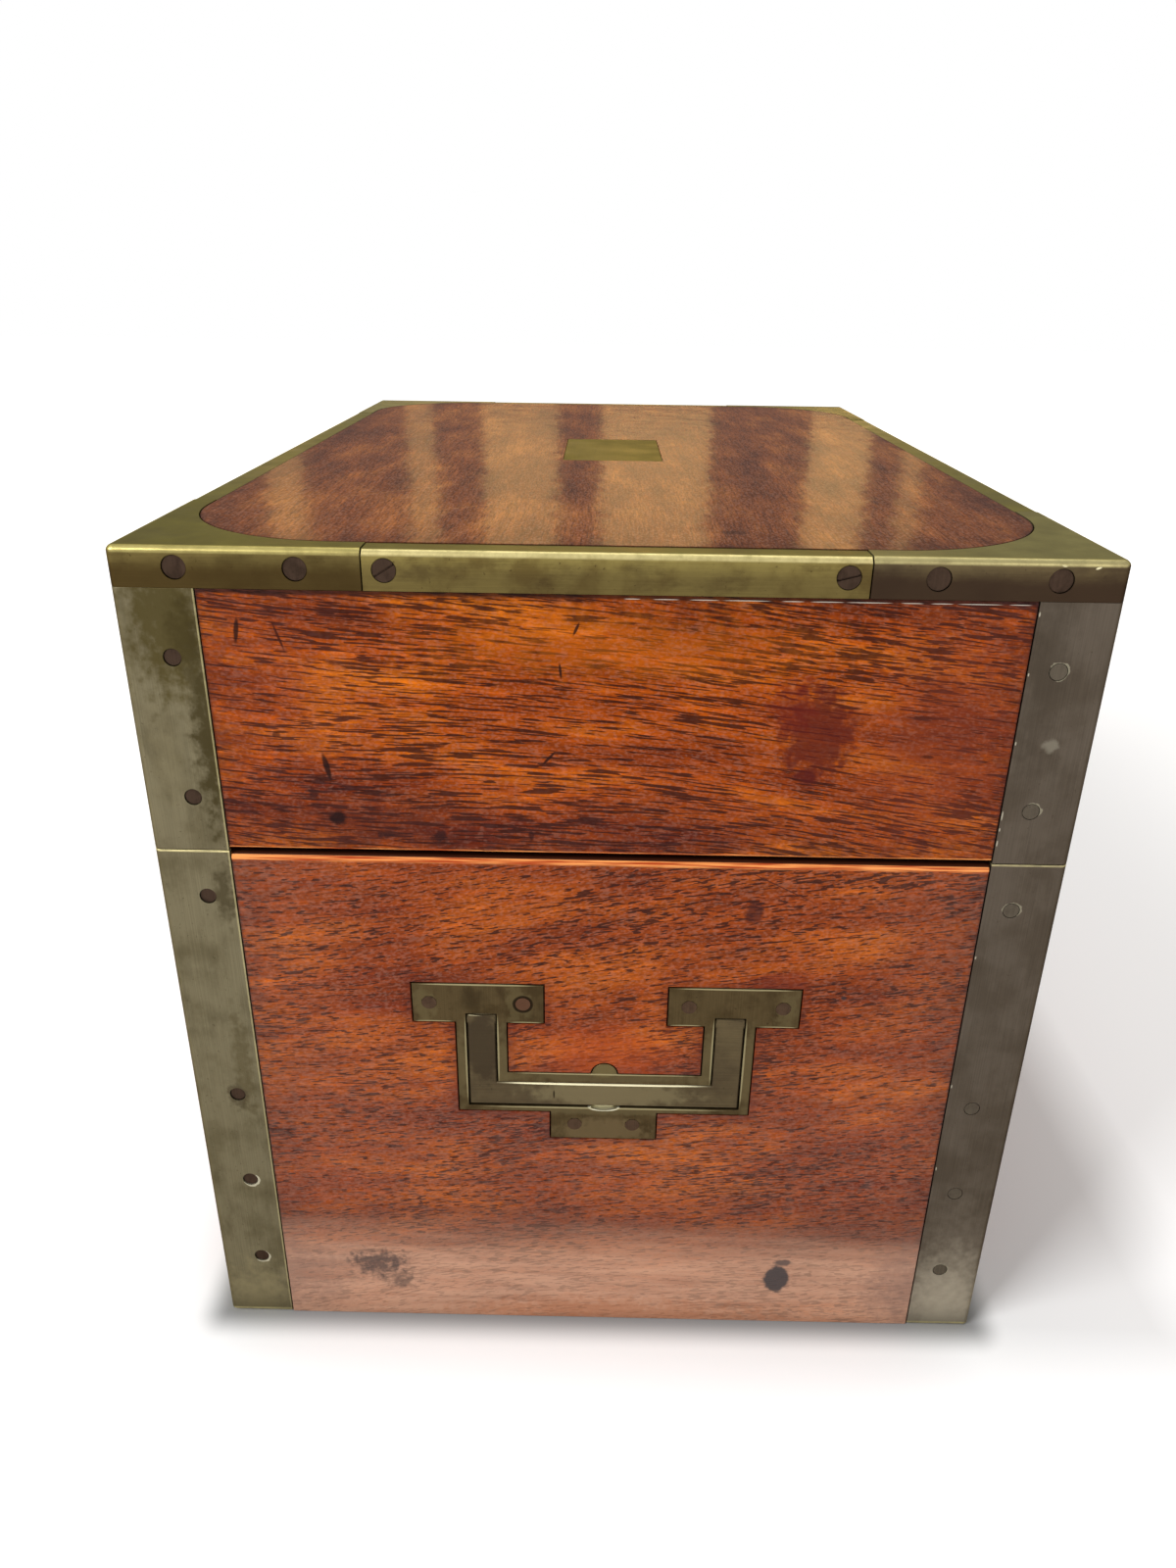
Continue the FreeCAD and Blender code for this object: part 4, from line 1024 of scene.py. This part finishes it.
        plate_marks_and_painted_light = (
            MarkAndPaintedLight((175, -51.0, 122.8), (400, 4.6, 7.5), shade="#5f5439", strength=0.5, ragged=0.6, core=0.5),
            MarkAndPaintedLight((175, -24.5, 122.8), (400, 4.6, 7.5), shade="#5c5137", strength=0.5, ragged=0.6, core=0.5),
            MarkAndPaintedLight((175, 51.0, 122.8), (400, 4.0, 7.5), shade="#5c5137", strength=0.5, ragged=0.6, core=0.5),
            MarkAndPaintedLight((175, 0.0, 78.0), (400, 18.0, 6.0), shade="#62533a", strength=0.8, ragged=0.4, core=0.5),
            *(MarkAndPaintedLight((175, y, 101.0), (400, 2.6, 19.0), shade="#5f543a", strength=0.6, ragged=0.4, core=0.6)
              for y in (-41.2, -29.1, 29.1, 41.2)),
            *(MarkAndPaintedLight((175, 0.0, z), (400, 45.0, 2.4), shade="#5f543a", strength=0.6, ragged=0.4, core=0.6)
              for z in (85.8, 97.6)),
            MarkAndPaintedLight((175, -37.0, 124.0), (400, 6.0, 6.5), shade="#33291a", strength=0.6, ragged=0.4, core=0.8),
            MarkAndPaintedLight((175, 32.0, 119.0), (400, 7.0, 4.5), shade="#3a2f1c", strength=0.5, ragged=0.5, core=0.8),
            MarkAndPaintedLight((175, 0.0, 100.2), (400, 5.0, 3.0), shade="#6d6140", strength=0.7, ragged=0.2, core=0.5),
            # Painted highlight: the nail scoop's crescent, pale as where its hollow catches the light.
            MarkAndPaintedLight((175, 0.0, 86.7), (400, 5.0, 1.35), shade="#ddd8bc", strength=0.9, ragged=0.0, core=0.15),
            # Painted shade: a dark ring round the sunk screw head in the left ear.
            MarkAndPaintedLight((175, -23.3, 122.8), (400, 3.1, 3.1), shade="#1e160e", strength=0.9, ragged=0.02, core=0.12),
            # Pale lines beside the slot: partly rubbed brass, partly painted highlight of edges catching the light.
            *(MarkAndPaintedLight((175, y, z), (400, 0.32, tall), shade="#958b68", strength=0.75, ragged=0.05, core=0.3)
              for y, z, tall in ((-39.75, 103.0, 17.0), (39.75, 103.0, 17.0), (-30.5, 107.0, 13.0),
                                 (30.5, 107.0, 13.0))),
            # Pale lines along the plate's edges: partly rubbed brass, partly painted highlight of edges catching the
            # light.
            *(MarkAndPaintedLight((175, y, z), (400, wide, 0.3), shade="#a39973", strength=0.7, ragged=0.04, core=0.3)
              for y, z, wide in ((0.0, 86.4, 40.0), (0.0, 98.8, 29.0), (-35.9, 129.0, 18.4), (35.9, 129.0, 18.4),
                                 (-48.5, 116.6, 6.0), (-22.5, 116.6, 5.0), (48.5, 116.6, 6.0), (22.5, 116.6, 5.0))),
        )
        bail_marks_and_highlights = (
            MarkAndPaintedLight((175, -35.2, 108.0), (400, 6.0, 15.0), shade="#3b3125", strength=0.8, ragged=0.3, core=0.4),
            MarkAndPaintedLight((175, 2.0, 91.5), (400, 30.0, 5.5), shade="#70654a", strength=0.8, ragged=0.3, core=0.5),
            # Painted highlight, with rubbed brass: the bright line along the bar's top arris.
            MarkAndPaintedLight((175, 0.0, 95.0), (400, 33.0, 0.42), shade="#ece3bd", strength=0.9, ragged=0.02, core=0.3),
            # Painted highlight, with rubbed brass: the short bright line on the left arm's top.
            MarkAndPaintedLight((175, -35.1, 118.9), (400, 5.2, 0.4), shade="#ddd4ac", strength=0.9, ragged=0.02, core=0.3),
            MarkAndPaintedLight((175, -14.6, 91.3), (400, 0.35, 1.9), shade="#241c12", ragged=0.05),
        )
        base = {"panel_centre": (0, 0, 85), "panel_half": (500, 100, 185), "dark": "#632006", "middle": "#883908",
                "bright": "#b4590e", "pore_length": 6.5}
        lid = {"panel_centre": (0, 0, 205), "panel_half": (500, 100, 34.5), "dark": "#632004", "middle": "#984106",
               "bright": "#c8680e", "pore_length": 16.0, "clear_centre": (0, 5, 225), "clear_half": (500, 45, 12),
               "clear_reach": 45.0, "scuff": "#52302e"}
        sides = {"panel_half": (155, 500, 185)}
        wood = {
            # The right end board carries the painted floor reflection at its foot.
            "base_right_board": Mahogany("mahogany_base_right", Along.Y, rise=7.0, marks=end_marks_and_glare, handle=True,
                                         painted_floor_reflection=0.7, gloss=0.11, pore_share=1.15, **base),
            "base_left_board": Mahogany("mahogany_base_left", Along.Y, rise=-3.0, shift=(310, 40, 90), handle=True,
                                        gloss=0.11, pore_share=1.0, **base),
            "base_front_board": Mahogany("mahogany_base_front", Along.X, rise=1.5, shift=(55, 210, 30), gloss=0.11,
                                         **(base | sides)),
            "base_back_board": Mahogany("mahogany_base_back", Along.X, rise=-2.0, shift=(500, -90, 130), gloss=0.11,
                                        **(base | sides)),
            "lid_right_rail": Mahogany("mahogany_lid_right", Along.Y, rise=-6.0, shift=(20, 0, 700), pore_share=1.25,
                                       marks=lid_marks, **lid),
            "lid_left_rail": Mahogany("mahogany_lid_left", Along.Y, rise=2.0, shift=(-260, 0, 480), pore_share=0.8,
                                      **lid),
            "lid_front_rail": Mahogany("mahogany_lid_front", Along.X, rise=1.0, shift=(90, 640, 20), pore_share=0.8,
                                       **(lid | {"panel_half": (155, 500, 34.5)})),
            "lid_back_rail": Mahogany("mahogany_lid_back", Along.X, rise=-1.5, shift=(-400, 330, 70),
                                      **(lid | {"panel_half": (155, 500, 34.5)})),
            "lid_top_board": Mahogany("mahogany_top", Along.X, shift=(130, -70, 900), polish=0.08, gloss=0.0, wavy=0.2,
                                      panel_centre=(0, 0, 250), panel_half=(167.5, 112.5, 300), panel_corner=45.0,
                                      marks=top_marks, dark="#4a230e", middle="#6a3817", bright="#8c5424",
                                      clear_half=(500.0, 500.0, 500.0), polish_roughness=0.14,
                                      pore_share=0.2, pore_depth=0.4),
            "base_bottom_board": Mahogany("mahogany_bottom", Along.X, shift=(70, 333, 0), gloss=0.1, dark="#5b3420",
                                          middle="#7a4a2e", bright="#946040"),
        }
        self.wood = {node: finish.make() for node, finish in wood.items()}
        self.left_corner = TarnishedBrass(
            "tarnished_brass_left", "#6a624c", "#5a523d", "#433b29", seam=0.35, lip=0.9, marks=left_marks_and_glints).make()
        self.right_corner = TarnishedBrass(
            "tarnished_brass_right", "#544b41", "#4b4238", "#433a30", cover=0.7, lip=0.5,
            marks=right_marks_and_glints).make()
        binding = TarnishedBrass("tarnished_brass_end_strip", "#7f7140", "#66572f", "#37291a", top="#716b3f",
                                 run=Along.Y, patch=12.0, low=0.55, sheen="#8d8655", rubbed="#c9bb84")
        self.end_strip = binding.make()
        self.side_strip = replace(binding, name="tarnished_brass_side_strip", run=Along.X).make()
        self.left_mount = replace(binding, name="tarnished_brass_left_mount", pale="#675a34", drab="#564a2a",
                                  dark="#382a15", top="#6d6739", low=0.85, rubbed="#a79a60").make()
        self.right_mount = replace(binding, name="tarnished_brass_right_mount", pale="#5f5238", drab="#4f4330",
                                   dark="#33261d", top="#7c7652", low=0.95, marks=mount_nicks,
                                   rubbed="#a3986a").make()
        self.plaque = TarnishedBrass("tarnished_brass_plaque", "#625d20", "#54501b", "#423d15", run=Along.X,
                                     patch=22.0, sheen="#86802e").make()
        self.plate = TarnishedBrass("tarnished_brass_plate", "#4d402a", "#3f3320", "#2f2417", patch=9.0,
                                    marks=plate_marks_and_painted_light).make()
        self.bail = TarnishedBrass("handled_brass", "#5a4e38", "#4c4130", "#3a3123", patch=20.0, run=Along.Y,
                                   marks=bail_marks_and_highlights).make()
        self.hinge = TarnishedBrass("hinge_brass", "#6a5d3a", "#54472a", "#3d331e", patch=8.0, run=Along.X).make()
        self.lock = TarnishedBrass("lock_brass", "#927f4a", "#73623a", "#4f4226", patch=10.0, run=Along.X).make()
        self.filed_screw = TarnishedBrass("filed_screw_brass", "#534b40", "#4b433a", "#40382f", patch=5.0).make()
        self.handle_screw = TarnishedBrass(
            "handle_screw_brass", "#4b3a2d", "#403026", "#32251c", patch=5.0,
            marks=(MarkAndPaintedLight((175, -23.3, 122.8), (400, 4, 4), shade="#573c2d", core=0.2),)).make()
        self.plum_screw = TarnishedBrass("plum_screw_brass", "#3e3027", "#33271f", "#281e18", patch=4.0,
                                         roughness=0.5).make()
        self.steel = SpringSteel("blued_spring_steel").make()
        self.baize = Baize("green_baize").make()


@dataclass
class Carcase:
    """The base box: four dovetailed boards, the bottom in its rebate and the baize that lies on it."""

    arris: float = 0.22
    cloth_waves: float = 0.12

    def build(self, finishes: Finishes) -> None:
        """Builds and dresses the base."""
        for node in ("base_front_board", "base_back_board", "base_left_board", "base_right_board"):
            eased_copy(node, finishes.wood[node], self.arris)
        eased_copy("base_bottom_board", finishes.wood["base_bottom_board"], 0.6)
        self.lay_baize(finishes.baize)

    def lay_baize(self, material: bpy.types.Material) -> None:
        """Cuts the floor lining and lays it on the bottom board."""
        low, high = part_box("base_floor_lining")
        size = high - low
        middle = (low + high) / 2
        bpy.ops.mesh.primitive_plane_add(size=1, location=(middle.x, middle.y, low.z))
        cloth = bpy.context.object
        cloth.name = "baize_floor_lining"
        cloth.scale = (size.x, size.y, 1)
        bpy.ops.object.transform_apply(location=True, rotation=True, scale=True)
        with editing(cloth):
            bpy.ops.mesh.select_all(action="SELECT")
            bpy.ops.mesh.subdivide(number_cuts=50)
        wave = bpy.data.textures.new("wave", "CLOUDS")
        wave.noise_scale = 0.05
        lift = cloth.modifiers.new("lift", "DISPLACE")
        lift.texture = wave
        lift.direction = "Z"
        lift.mid_level = 0.0
        lift.strength = self.cloth_waves * MM
        bpy.ops.object.modifier_apply(modifier=lift.name)
        thick = cloth.modifiers.new("thick", "SOLIDIFY")
        thick.thickness = size.z - self.cloth_waves * 2 * MM
        thick.offset = 1.0
        bpy.ops.object.modifier_apply(modifier=thick.name)
        dress(cloth, material, "base", ("base_floor_lining",))


@dataclass
class Lid:
    """The lid: four dovetailed rails, the polished top board in the binding and the bare plaque in it."""

    arris: float = 0.22

    def build(self, finishes: Finishes) -> None:
        """Builds and dresses the lid's wood and plaque."""
        for node in ("lid_front_rail", "lid_back_rail", "lid_left_rail", "lid_right_rail", "lid_top_board"):
            eased_copy(node, finishes.wood[node], self.arris)
        eased_copy("lid_plaque", finishes.plaque, 0.12)


@dataclass
class Binding:
    """The flush brass: eight corner straps, four corner mounts, four edge strips and their screws."""

    half_length: float = 175.0
    half_width: float = 120.0
    base_heights: tuple[float, ...] = (24.5, 56.3, 89.0, 156.0)
    lid_heights: tuple[float, ...] = (185.3, 222.8)
    strap_inset: float = 12.6
    mount_insets: tuple[float, ...] = (16.0, 44.5)
    binding_screw_height: float = 245.0
    strip_inset: float = 5.5
    strap_screw: float = 2.15
    binding_screw: float = 2.85
    bore_depth: float = 1.2

    def faces(self, side_x: int, side_y: int) -> tuple[tuple[Vector, Callable[[float, float], Triple]], ...]:
        """The two faces of one corner.

        Args:
            side_x: -1 for the left corner, 1 for the right one.
            side_y: -1 for the front corner, 1 for the back one.

        Returns:
            For each face its outward direction, and a function from the distance in from the corner's
            edge and the height to a point on the face.
        """
        def on_end(inset: float, height: float) -> Triple:
            return (side_x * self.half_length, side_y * (self.half_width - inset), height)

        def on_side(inset: float, height: float) -> Triple:
            return (side_x * (self.half_length - inset), side_y * self.half_width, height)

        return ((Vector((side_x, 0, 0)), on_end), (Vector((0, side_y, 0)), on_side))

    def fit(self, node: str, material: bpy.types.Material, finishes: Finishes, screw: WoodScrew,
            places: list[tuple[Triple, Vector]], top_ease: float = 0.0) -> None:
        """Softens one brass piece, bores it and drives its screws.

        Args:
            node: the piece's construction node.
            material: its finish.
            finishes: the box's finishes.
            screw: the screw that holds it.
            places: where the screws' heads lie.
            top_ease: how far the top arris is rounded.
        """
        body = frame["nodes"][node]["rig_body"]
        piece = copy_of(node, node + "_eased")
        if top_ease:
            ease(piece, top_ease, 3, lambda middle: middle.z > 248.0 and (
                abs(middle.x) > 173.0 or abs(middle.y) > 118.0) and middle.z > 248.6)
        ease(piece, 0.12, 2, lambda middle: middle.z < 248.0, sharp=60.0)
        cut(piece, screw.bores(places, self.bore_depth))
        dress(piece, material, body, (node,))
        screws = screw.driven(places, node + "_screws", seed=len(node))
        tone = finishes.filed_screw if screw.left is Screws.FILED else finishes.plum_screw
        dress(screws, tone, body, smooth=35.0)

    def build(self, finishes: Finishes) -> None:
        """Builds and dresses every strap, mount and strip."""
        for end, side_x in (("left", -1), ("right", 1)):
            for side, side_y in (("front", -1), ("back", 1)):
                corner = f"{side}_{end}"
                faces = self.faces(side_x, side_y)
                plum = (side_x * side_y) < 0
                brass = finishes.left_corner if plum else finishes.right_corner
                mount = finishes.left_mount if plum else finishes.right_mount
                screw = WoodScrew(self.strap_screw, left=Screws.SUNK if plum else Screws.FILED)
                for form, heights in (("base", self.base_heights), ("lid", self.lid_heights)):
                    places = [(at(self.strap_inset, height), outward) for outward, at in faces for height in heights]
                    self.fit(f"{form}_strap_{corner}", brass, finishes, screw, places)
                places = [(at(inset, self.binding_screw_height), outward) for outward, at in faces
                          for inset in self.mount_insets]
                screw = WoodScrew(self.binding_screw, left=Screws.SUNK)
                self.fit(f"lid_corner_mount_{corner}", mount, finishes, screw, places, 0.45)
        self.strips(finishes)

    def strips(self, finishes: Finishes) -> None:
        """Builds the four edge strips between the corner mounts."""
        screw = WoodScrew(self.binding_screw, left=Screws.SLOTTED)
        height = self.binding_screw_height
        reach_y = self.half_width - 60.0 - self.strip_inset
        reach_x = self.half_length - 60.0 - self.strip_inset
        for name, side in (("left", -1), ("right", 1)):
            places = [((side * self.half_length, y, height), Vector((side, 0, 0))) for y in (-reach_y, reach_y)]
            self.fit(f"lid_edge_strip_{name}", finishes.end_strip, finishes, screw, places, 0.45)
        for name, side in (("front", -1), ("back", 1)):
            places = [((share * reach_x, side * self.half_width, height), Vector((0, side, 0)))
                      for share in (-1.0, -0.5, 0.0, 0.5, 1.0)]
            self.fit(f"lid_edge_strip_{name}", finishes.side_strip, finishes, screw, places, 0.45)


@dataclass
class FlushHandle:
    """A flush drop handle: plate with its pan, bail, pivots and screws."""

    end: str
    outward: int
    scoop_height: float = 89.95
    scoop_radius: float = 5.2
    slot_low: float = 86.75
    worn_share: float = 0.55
    plate_ease: float = 0.2

    def fill_scoop(self, plate: bpy.types.Object) -> None:
        """Makes the nail scoop the shallow crescent that wear and polish have left of it."""
        with editing(plate) as edit:
            bpy.ops.mesh.select_mode(type="VERT")
            choose(plate, edit, [v for v in edit.verts if v.co.z / MM < self.slot_low - 0.05 and math.hypot(
                v.co.y / MM, v.co.z / MM - self.scoop_height) < self.scoop_radius + 0.1])
            bpy.ops.transform.resize(value=(1, 1, self.worn_share), center_override=(0, 0, self.slot_low * MM))

    def build(self, finishes: Finishes) -> None:
        """Builds and dresses the handle."""
        plate = copy_of(f"handle_plate_{self.end}", f"handle_plate_{self.end}_eased")
        self.fill_scoop(plate)
        ease(plate, self.plate_ease, 2, lambda middle: middle.y ** 2 > 64.0 or middle.z > 88.0 or middle.z < 82.0)
        dress(plate, finishes.plate, "base", (f"handle_plate_{self.end}",))
        eased_copy(f"handle_bail_{self.end}", finishes.bail, 0.08)
        eased_copy(f"handle_pivots_{self.end}", finishes.bail, 0.0)
        screws_like(f"handle_screws_{self.end}", Vector((self.outward, 0, 0)), finishes.handle_screw,
                    Screws.FILED, seed=4)


@dataclass
class StopHinges:
    """The pair of stop hinges with their pins and screws."""

    def build(self, finishes: Finishes) -> None:
        """Builds and dresses both hinges."""
        for end in ("left", "right"):
            eased_copy(f"hinge_base_leaf_{end}", finishes.hinge, 0.08)
            eased_copy(f"hinge_lid_leaf_{end}", finishes.hinge, 0.08)
            eased_copy(f"hinge_pin_{end}", finishes.hinge, 0.12)
        screws_like("hinge_base_screws", Vector((0, 0, 1)), finishes.filed_screw, Screws.SLOTTED, seed=5)
        screws_like("hinge_lid_screws", Vector((0, 0, -1)), finishes.filed_screw, Screws.SLOTTED, seed=6)


@dataclass
class BoxLock:
    """The box lock, its link plate and the keyhole's escutcheon."""

    def build(self, finishes: Finishes) -> None:
        """Builds and dresses the lock."""
        for node, width in (("lock_plate", 0.12), ("lock_case", 0.15), ("lock_bolt", 0.1), ("lock_link_plate", 0.1),
                            ("lock_drill_pin", 0.08), ("keyhole_escutcheon", 0.08)):
            eased_copy(node, finishes.lock, width)
        eased_copy("lock_spring", finishes.steel, 0.0)
        screws_like("lock_screws", Vector((0, -1, 0)), finishes.filed_screw, Screws.SLOTTED, seed=7)
        screws_like("lock_link_screws", Vector((0, 0, -1)), finishes.filed_screw, Screws.SLOTTED, seed=8)


@dataclass
class Studio:
    """The pale floor, the soft lights and the camera."""

    camera_place: Triple = (430.1, -3.5, 307.0)
    camera_aim: Triple = (-0.9102, -0.0085, -0.414)
    camera_roll: float = 0.78
    lens: float = 25.3
    sensor: float = 36.0
    floor_size: float = 12000.0
    floor_tone: str = "#e6e6e6"
    sky_level: float = 0.36
    near_glow: float = 0.28
    far_glow: float = 0.8

    def seen(self, tree: bpy.types.NodeTree) -> bpy.types.Node:
        """A mask of the rays that show the background: camera, glossy and transmission rays."""
        rays = add(tree, "LightPath").outputs
        shown = add(tree, "Math", {0: rays["Is Camera Ray"], 1: rays["Is Glossy Ray"]}, operation="MAXIMUM")
        return add(tree, "Math", {0: shown, 1: rays["Is Transmission Ray"]}, operation="MAXIMUM")

    def outside(self, tree: bpy.types.NodeTree, middle: Triple, half: Triple) -> bpy.types.NodeSocket:
        """How far a point of the floor lies outside a rectangle, in metres.

        Args:
            tree: the floor's node tree.
            middle: the rectangle's centre.
            half: its half sizes.

        Returns:
            The distance's socket.
        """
        reach = add(tree, "VectorMath", {0: add(tree, "TexCoord").outputs["Object"], 1: middle}, operation="SUBTRACT")
        reach = add(tree, "VectorMath", {0: reach}, operation="ABSOLUTE")
        reach = add(tree, "VectorMath", {0: reach, 1: half}, operation="SUBTRACT")
        reach = add(tree, "VectorMath", {0: reach, 1: (0.0, 0.0, 0.0)}, operation="MAXIMUM")
        return add(tree, "VectorMath", {0: reach}, operation="LENGTH").outputs["Value"]

    def lay_floor(self) -> None:
        """Lays the floor, which keeps the object's shadow and is white where it is open, with a painted contact shadow
        at the box's foot and painted shade where its glow is held back near the box.
        """
        bpy.ops.mesh.primitive_plane_add(size=self.floor_size * MM, location=(0, 0, 0))
        floor = bpy.context.object
        floor.name = "floor"
        material = bpy.data.materials.new("pale_floor")
        material.use_nodes = True
        tree = material.node_tree
        tree.nodes.clear()
        from_box, from_shade = (self.outside(tree, middle, half) for middle, half in (
            ((0.0, 0.0, 0.0), (0.175, 0.12, 0.0)), ((0.0, 0.03, 0.0), (0.175, 0.15, 0.0))))
        # Painted contact shadow: the floor's colour falls to 0.3 of itself right at the box's foot, over 12 mm.
        painted_contact_shadow = add(tree, "MapRange", {"Value": from_box, "To Min": 0.3, "From Max": 0.012},
                     interpolation_type="SMOOTHSTEP")
        tone = add(tree, "MixRGB", {"Fac": 1.0, "Color1": colour(self.floor_tone), "Color2": painted_contact_shadow},
                   blend_type="MULTIPLY")
        paper = add(tree, "BsdfDiffuse", {"Color": tone})
        # Painted shade: no glow at the box and along a strip 60 mm wide on its +Y side, rising to near_glow 30 mm
        # further out, so the shadow there stays deep; far away the glow grows to far_glow.
        near = add(tree, "MapRange", {"Value": from_shade, "From Max": 0.03, "To Max": self.near_glow})
        level = add(tree, "MapRange", {"Value": from_box, "From Min": 0.05, "From Max": 1.2, "To Min": near,
                                       "To Max": self.far_glow}, interpolation_type="SMOOTHSTEP")
        lift = add(tree, "Math", {0: self.seen(tree), 1: level}, operation="MULTIPLY")
        glow = add(tree, "Emission", {"Color": (1, 1, 1, 1), "Strength": lift})
        add(tree, "OutputMaterial", {"Surface": add(tree, "AddShader", {0: paper, 1: glow})})
        floor.data.materials.append(material)

    def light_world(self) -> None:
        """Makes the world a soft grey light that shows as white."""
        world = bpy.data.worlds.new("studio")
        bpy.context.scene.world = world
        world.use_nodes = True
        tree = world.node_tree
        tree.nodes.clear()
        strength = add(tree, "MapRange", {"Value": self.seen(tree), "To Min": self.sky_level, "To Max": 1.0})
        sky = add(tree, "Background", {"Color": (1, 1, 1, 1), "Strength": strength})
        add(tree, "OutputWorld", {"Surface": sky})

    def hang_light(self, name: str, place: Triple, aim: Triple, size: tuple[float, float], watts: float,
                   tone: str = "#ffffff") -> None:
        """Hangs one soft box.

        Args:
            name: its name.
            place: where it hangs, in millimetres.
            aim: the point that it faces.
            size: its width and height in millimetres.
            watts: its power.
            tone: its colour.
        """
        lamp = bpy.data.lights.new(name, "AREA")
        lamp.shape = "RECTANGLE"
        lamp.size = size[0] * MM
        lamp.size_y = size[1] * MM
        lamp.energy = watts
        lamp.color = colour(tone)[:3]
        holder = bpy.data.objects.new(name, lamp)
        holder.location = Vector(place) * MM
        holder.rotation_euler = (Vector(aim) - Vector(place)).to_track_quat("-Z", "Y").to_euler()
        bpy.context.scene.collection.objects.link(holder)

    def stand_camera(self) -> None:
        """Stands the camera where the photograph was taken."""
        lens = bpy.data.cameras.new("camera")
        lens.lens = self.lens
        lens.sensor_width = self.sensor
        lens.clip_start = 0.01
        camera = bpy.data.objects.new("camera", lens)
        camera.location = Vector(self.camera_place) * MM
        turn = Vector(self.camera_aim).to_track_quat("-Z", "Y")
        turn = turn @ Quaternion((0, 0, 1), math.radians(self.camera_roll))
        camera.rotation_euler = turn.to_euler()
        bpy.context.scene.collection.objects.link(camera)
        bpy.context.scene.camera = camera

    def build(self) -> None:
        """Builds the studio."""
        bpy.context.scene.view_settings.view_transform = "Standard"
        self.lay_floor()
        self.light_world()
        self.hang_light("key", (850, -1050, 1150), (0, 0, 100), (700, 700), 26.0)
        self.hang_light("overhead", (-300, 100, 1700), (0, 0, 150), (1400, 1000), 8.0)
        self.hang_light("fill", (1300, 900, 700), (0, 0, 120), (900, 900), 5.0)
        for name, across, wide, watts in (("window_1", -830, 90, 0.7), ("window_2", -470, 70, 0.6),
                                          ("window_3", -215, 190, 2.2), ("window_4", 130, 280, 3.6),
                                          ("window_5", 600, 150, 2.0), ("window_6", 790, 50, 0.4)):
            self.hang_light(name, (-2500, across, 760), (0, 0, 250), (wide, 560), watts, "#ffcf80")
        self.stand_camera()


def main() -> None:
    """Builds the box from the inside out."""
    logging.basicConfig(level=logging.INFO, format="%(name)s: %(message)s")
    settle()
    for leftover in [o for o in bpy.data.objects if o.name in ("Cube", "Light", "Camera")]:
        bpy.data.objects.remove(leftover)
    finishes = Finishes()
    Carcase().build(finishes)
    Lid().build(finishes)
    Binding().build(finishes)
    FlushHandle("left", -1).build(finishes)
    FlushHandle("right", 1).build(finishes)
    StopHinges().build(finishes)
    BoxLock().build(finishes)
    Studio().build()
    settle()


if __name__ == "__main__":
    main()
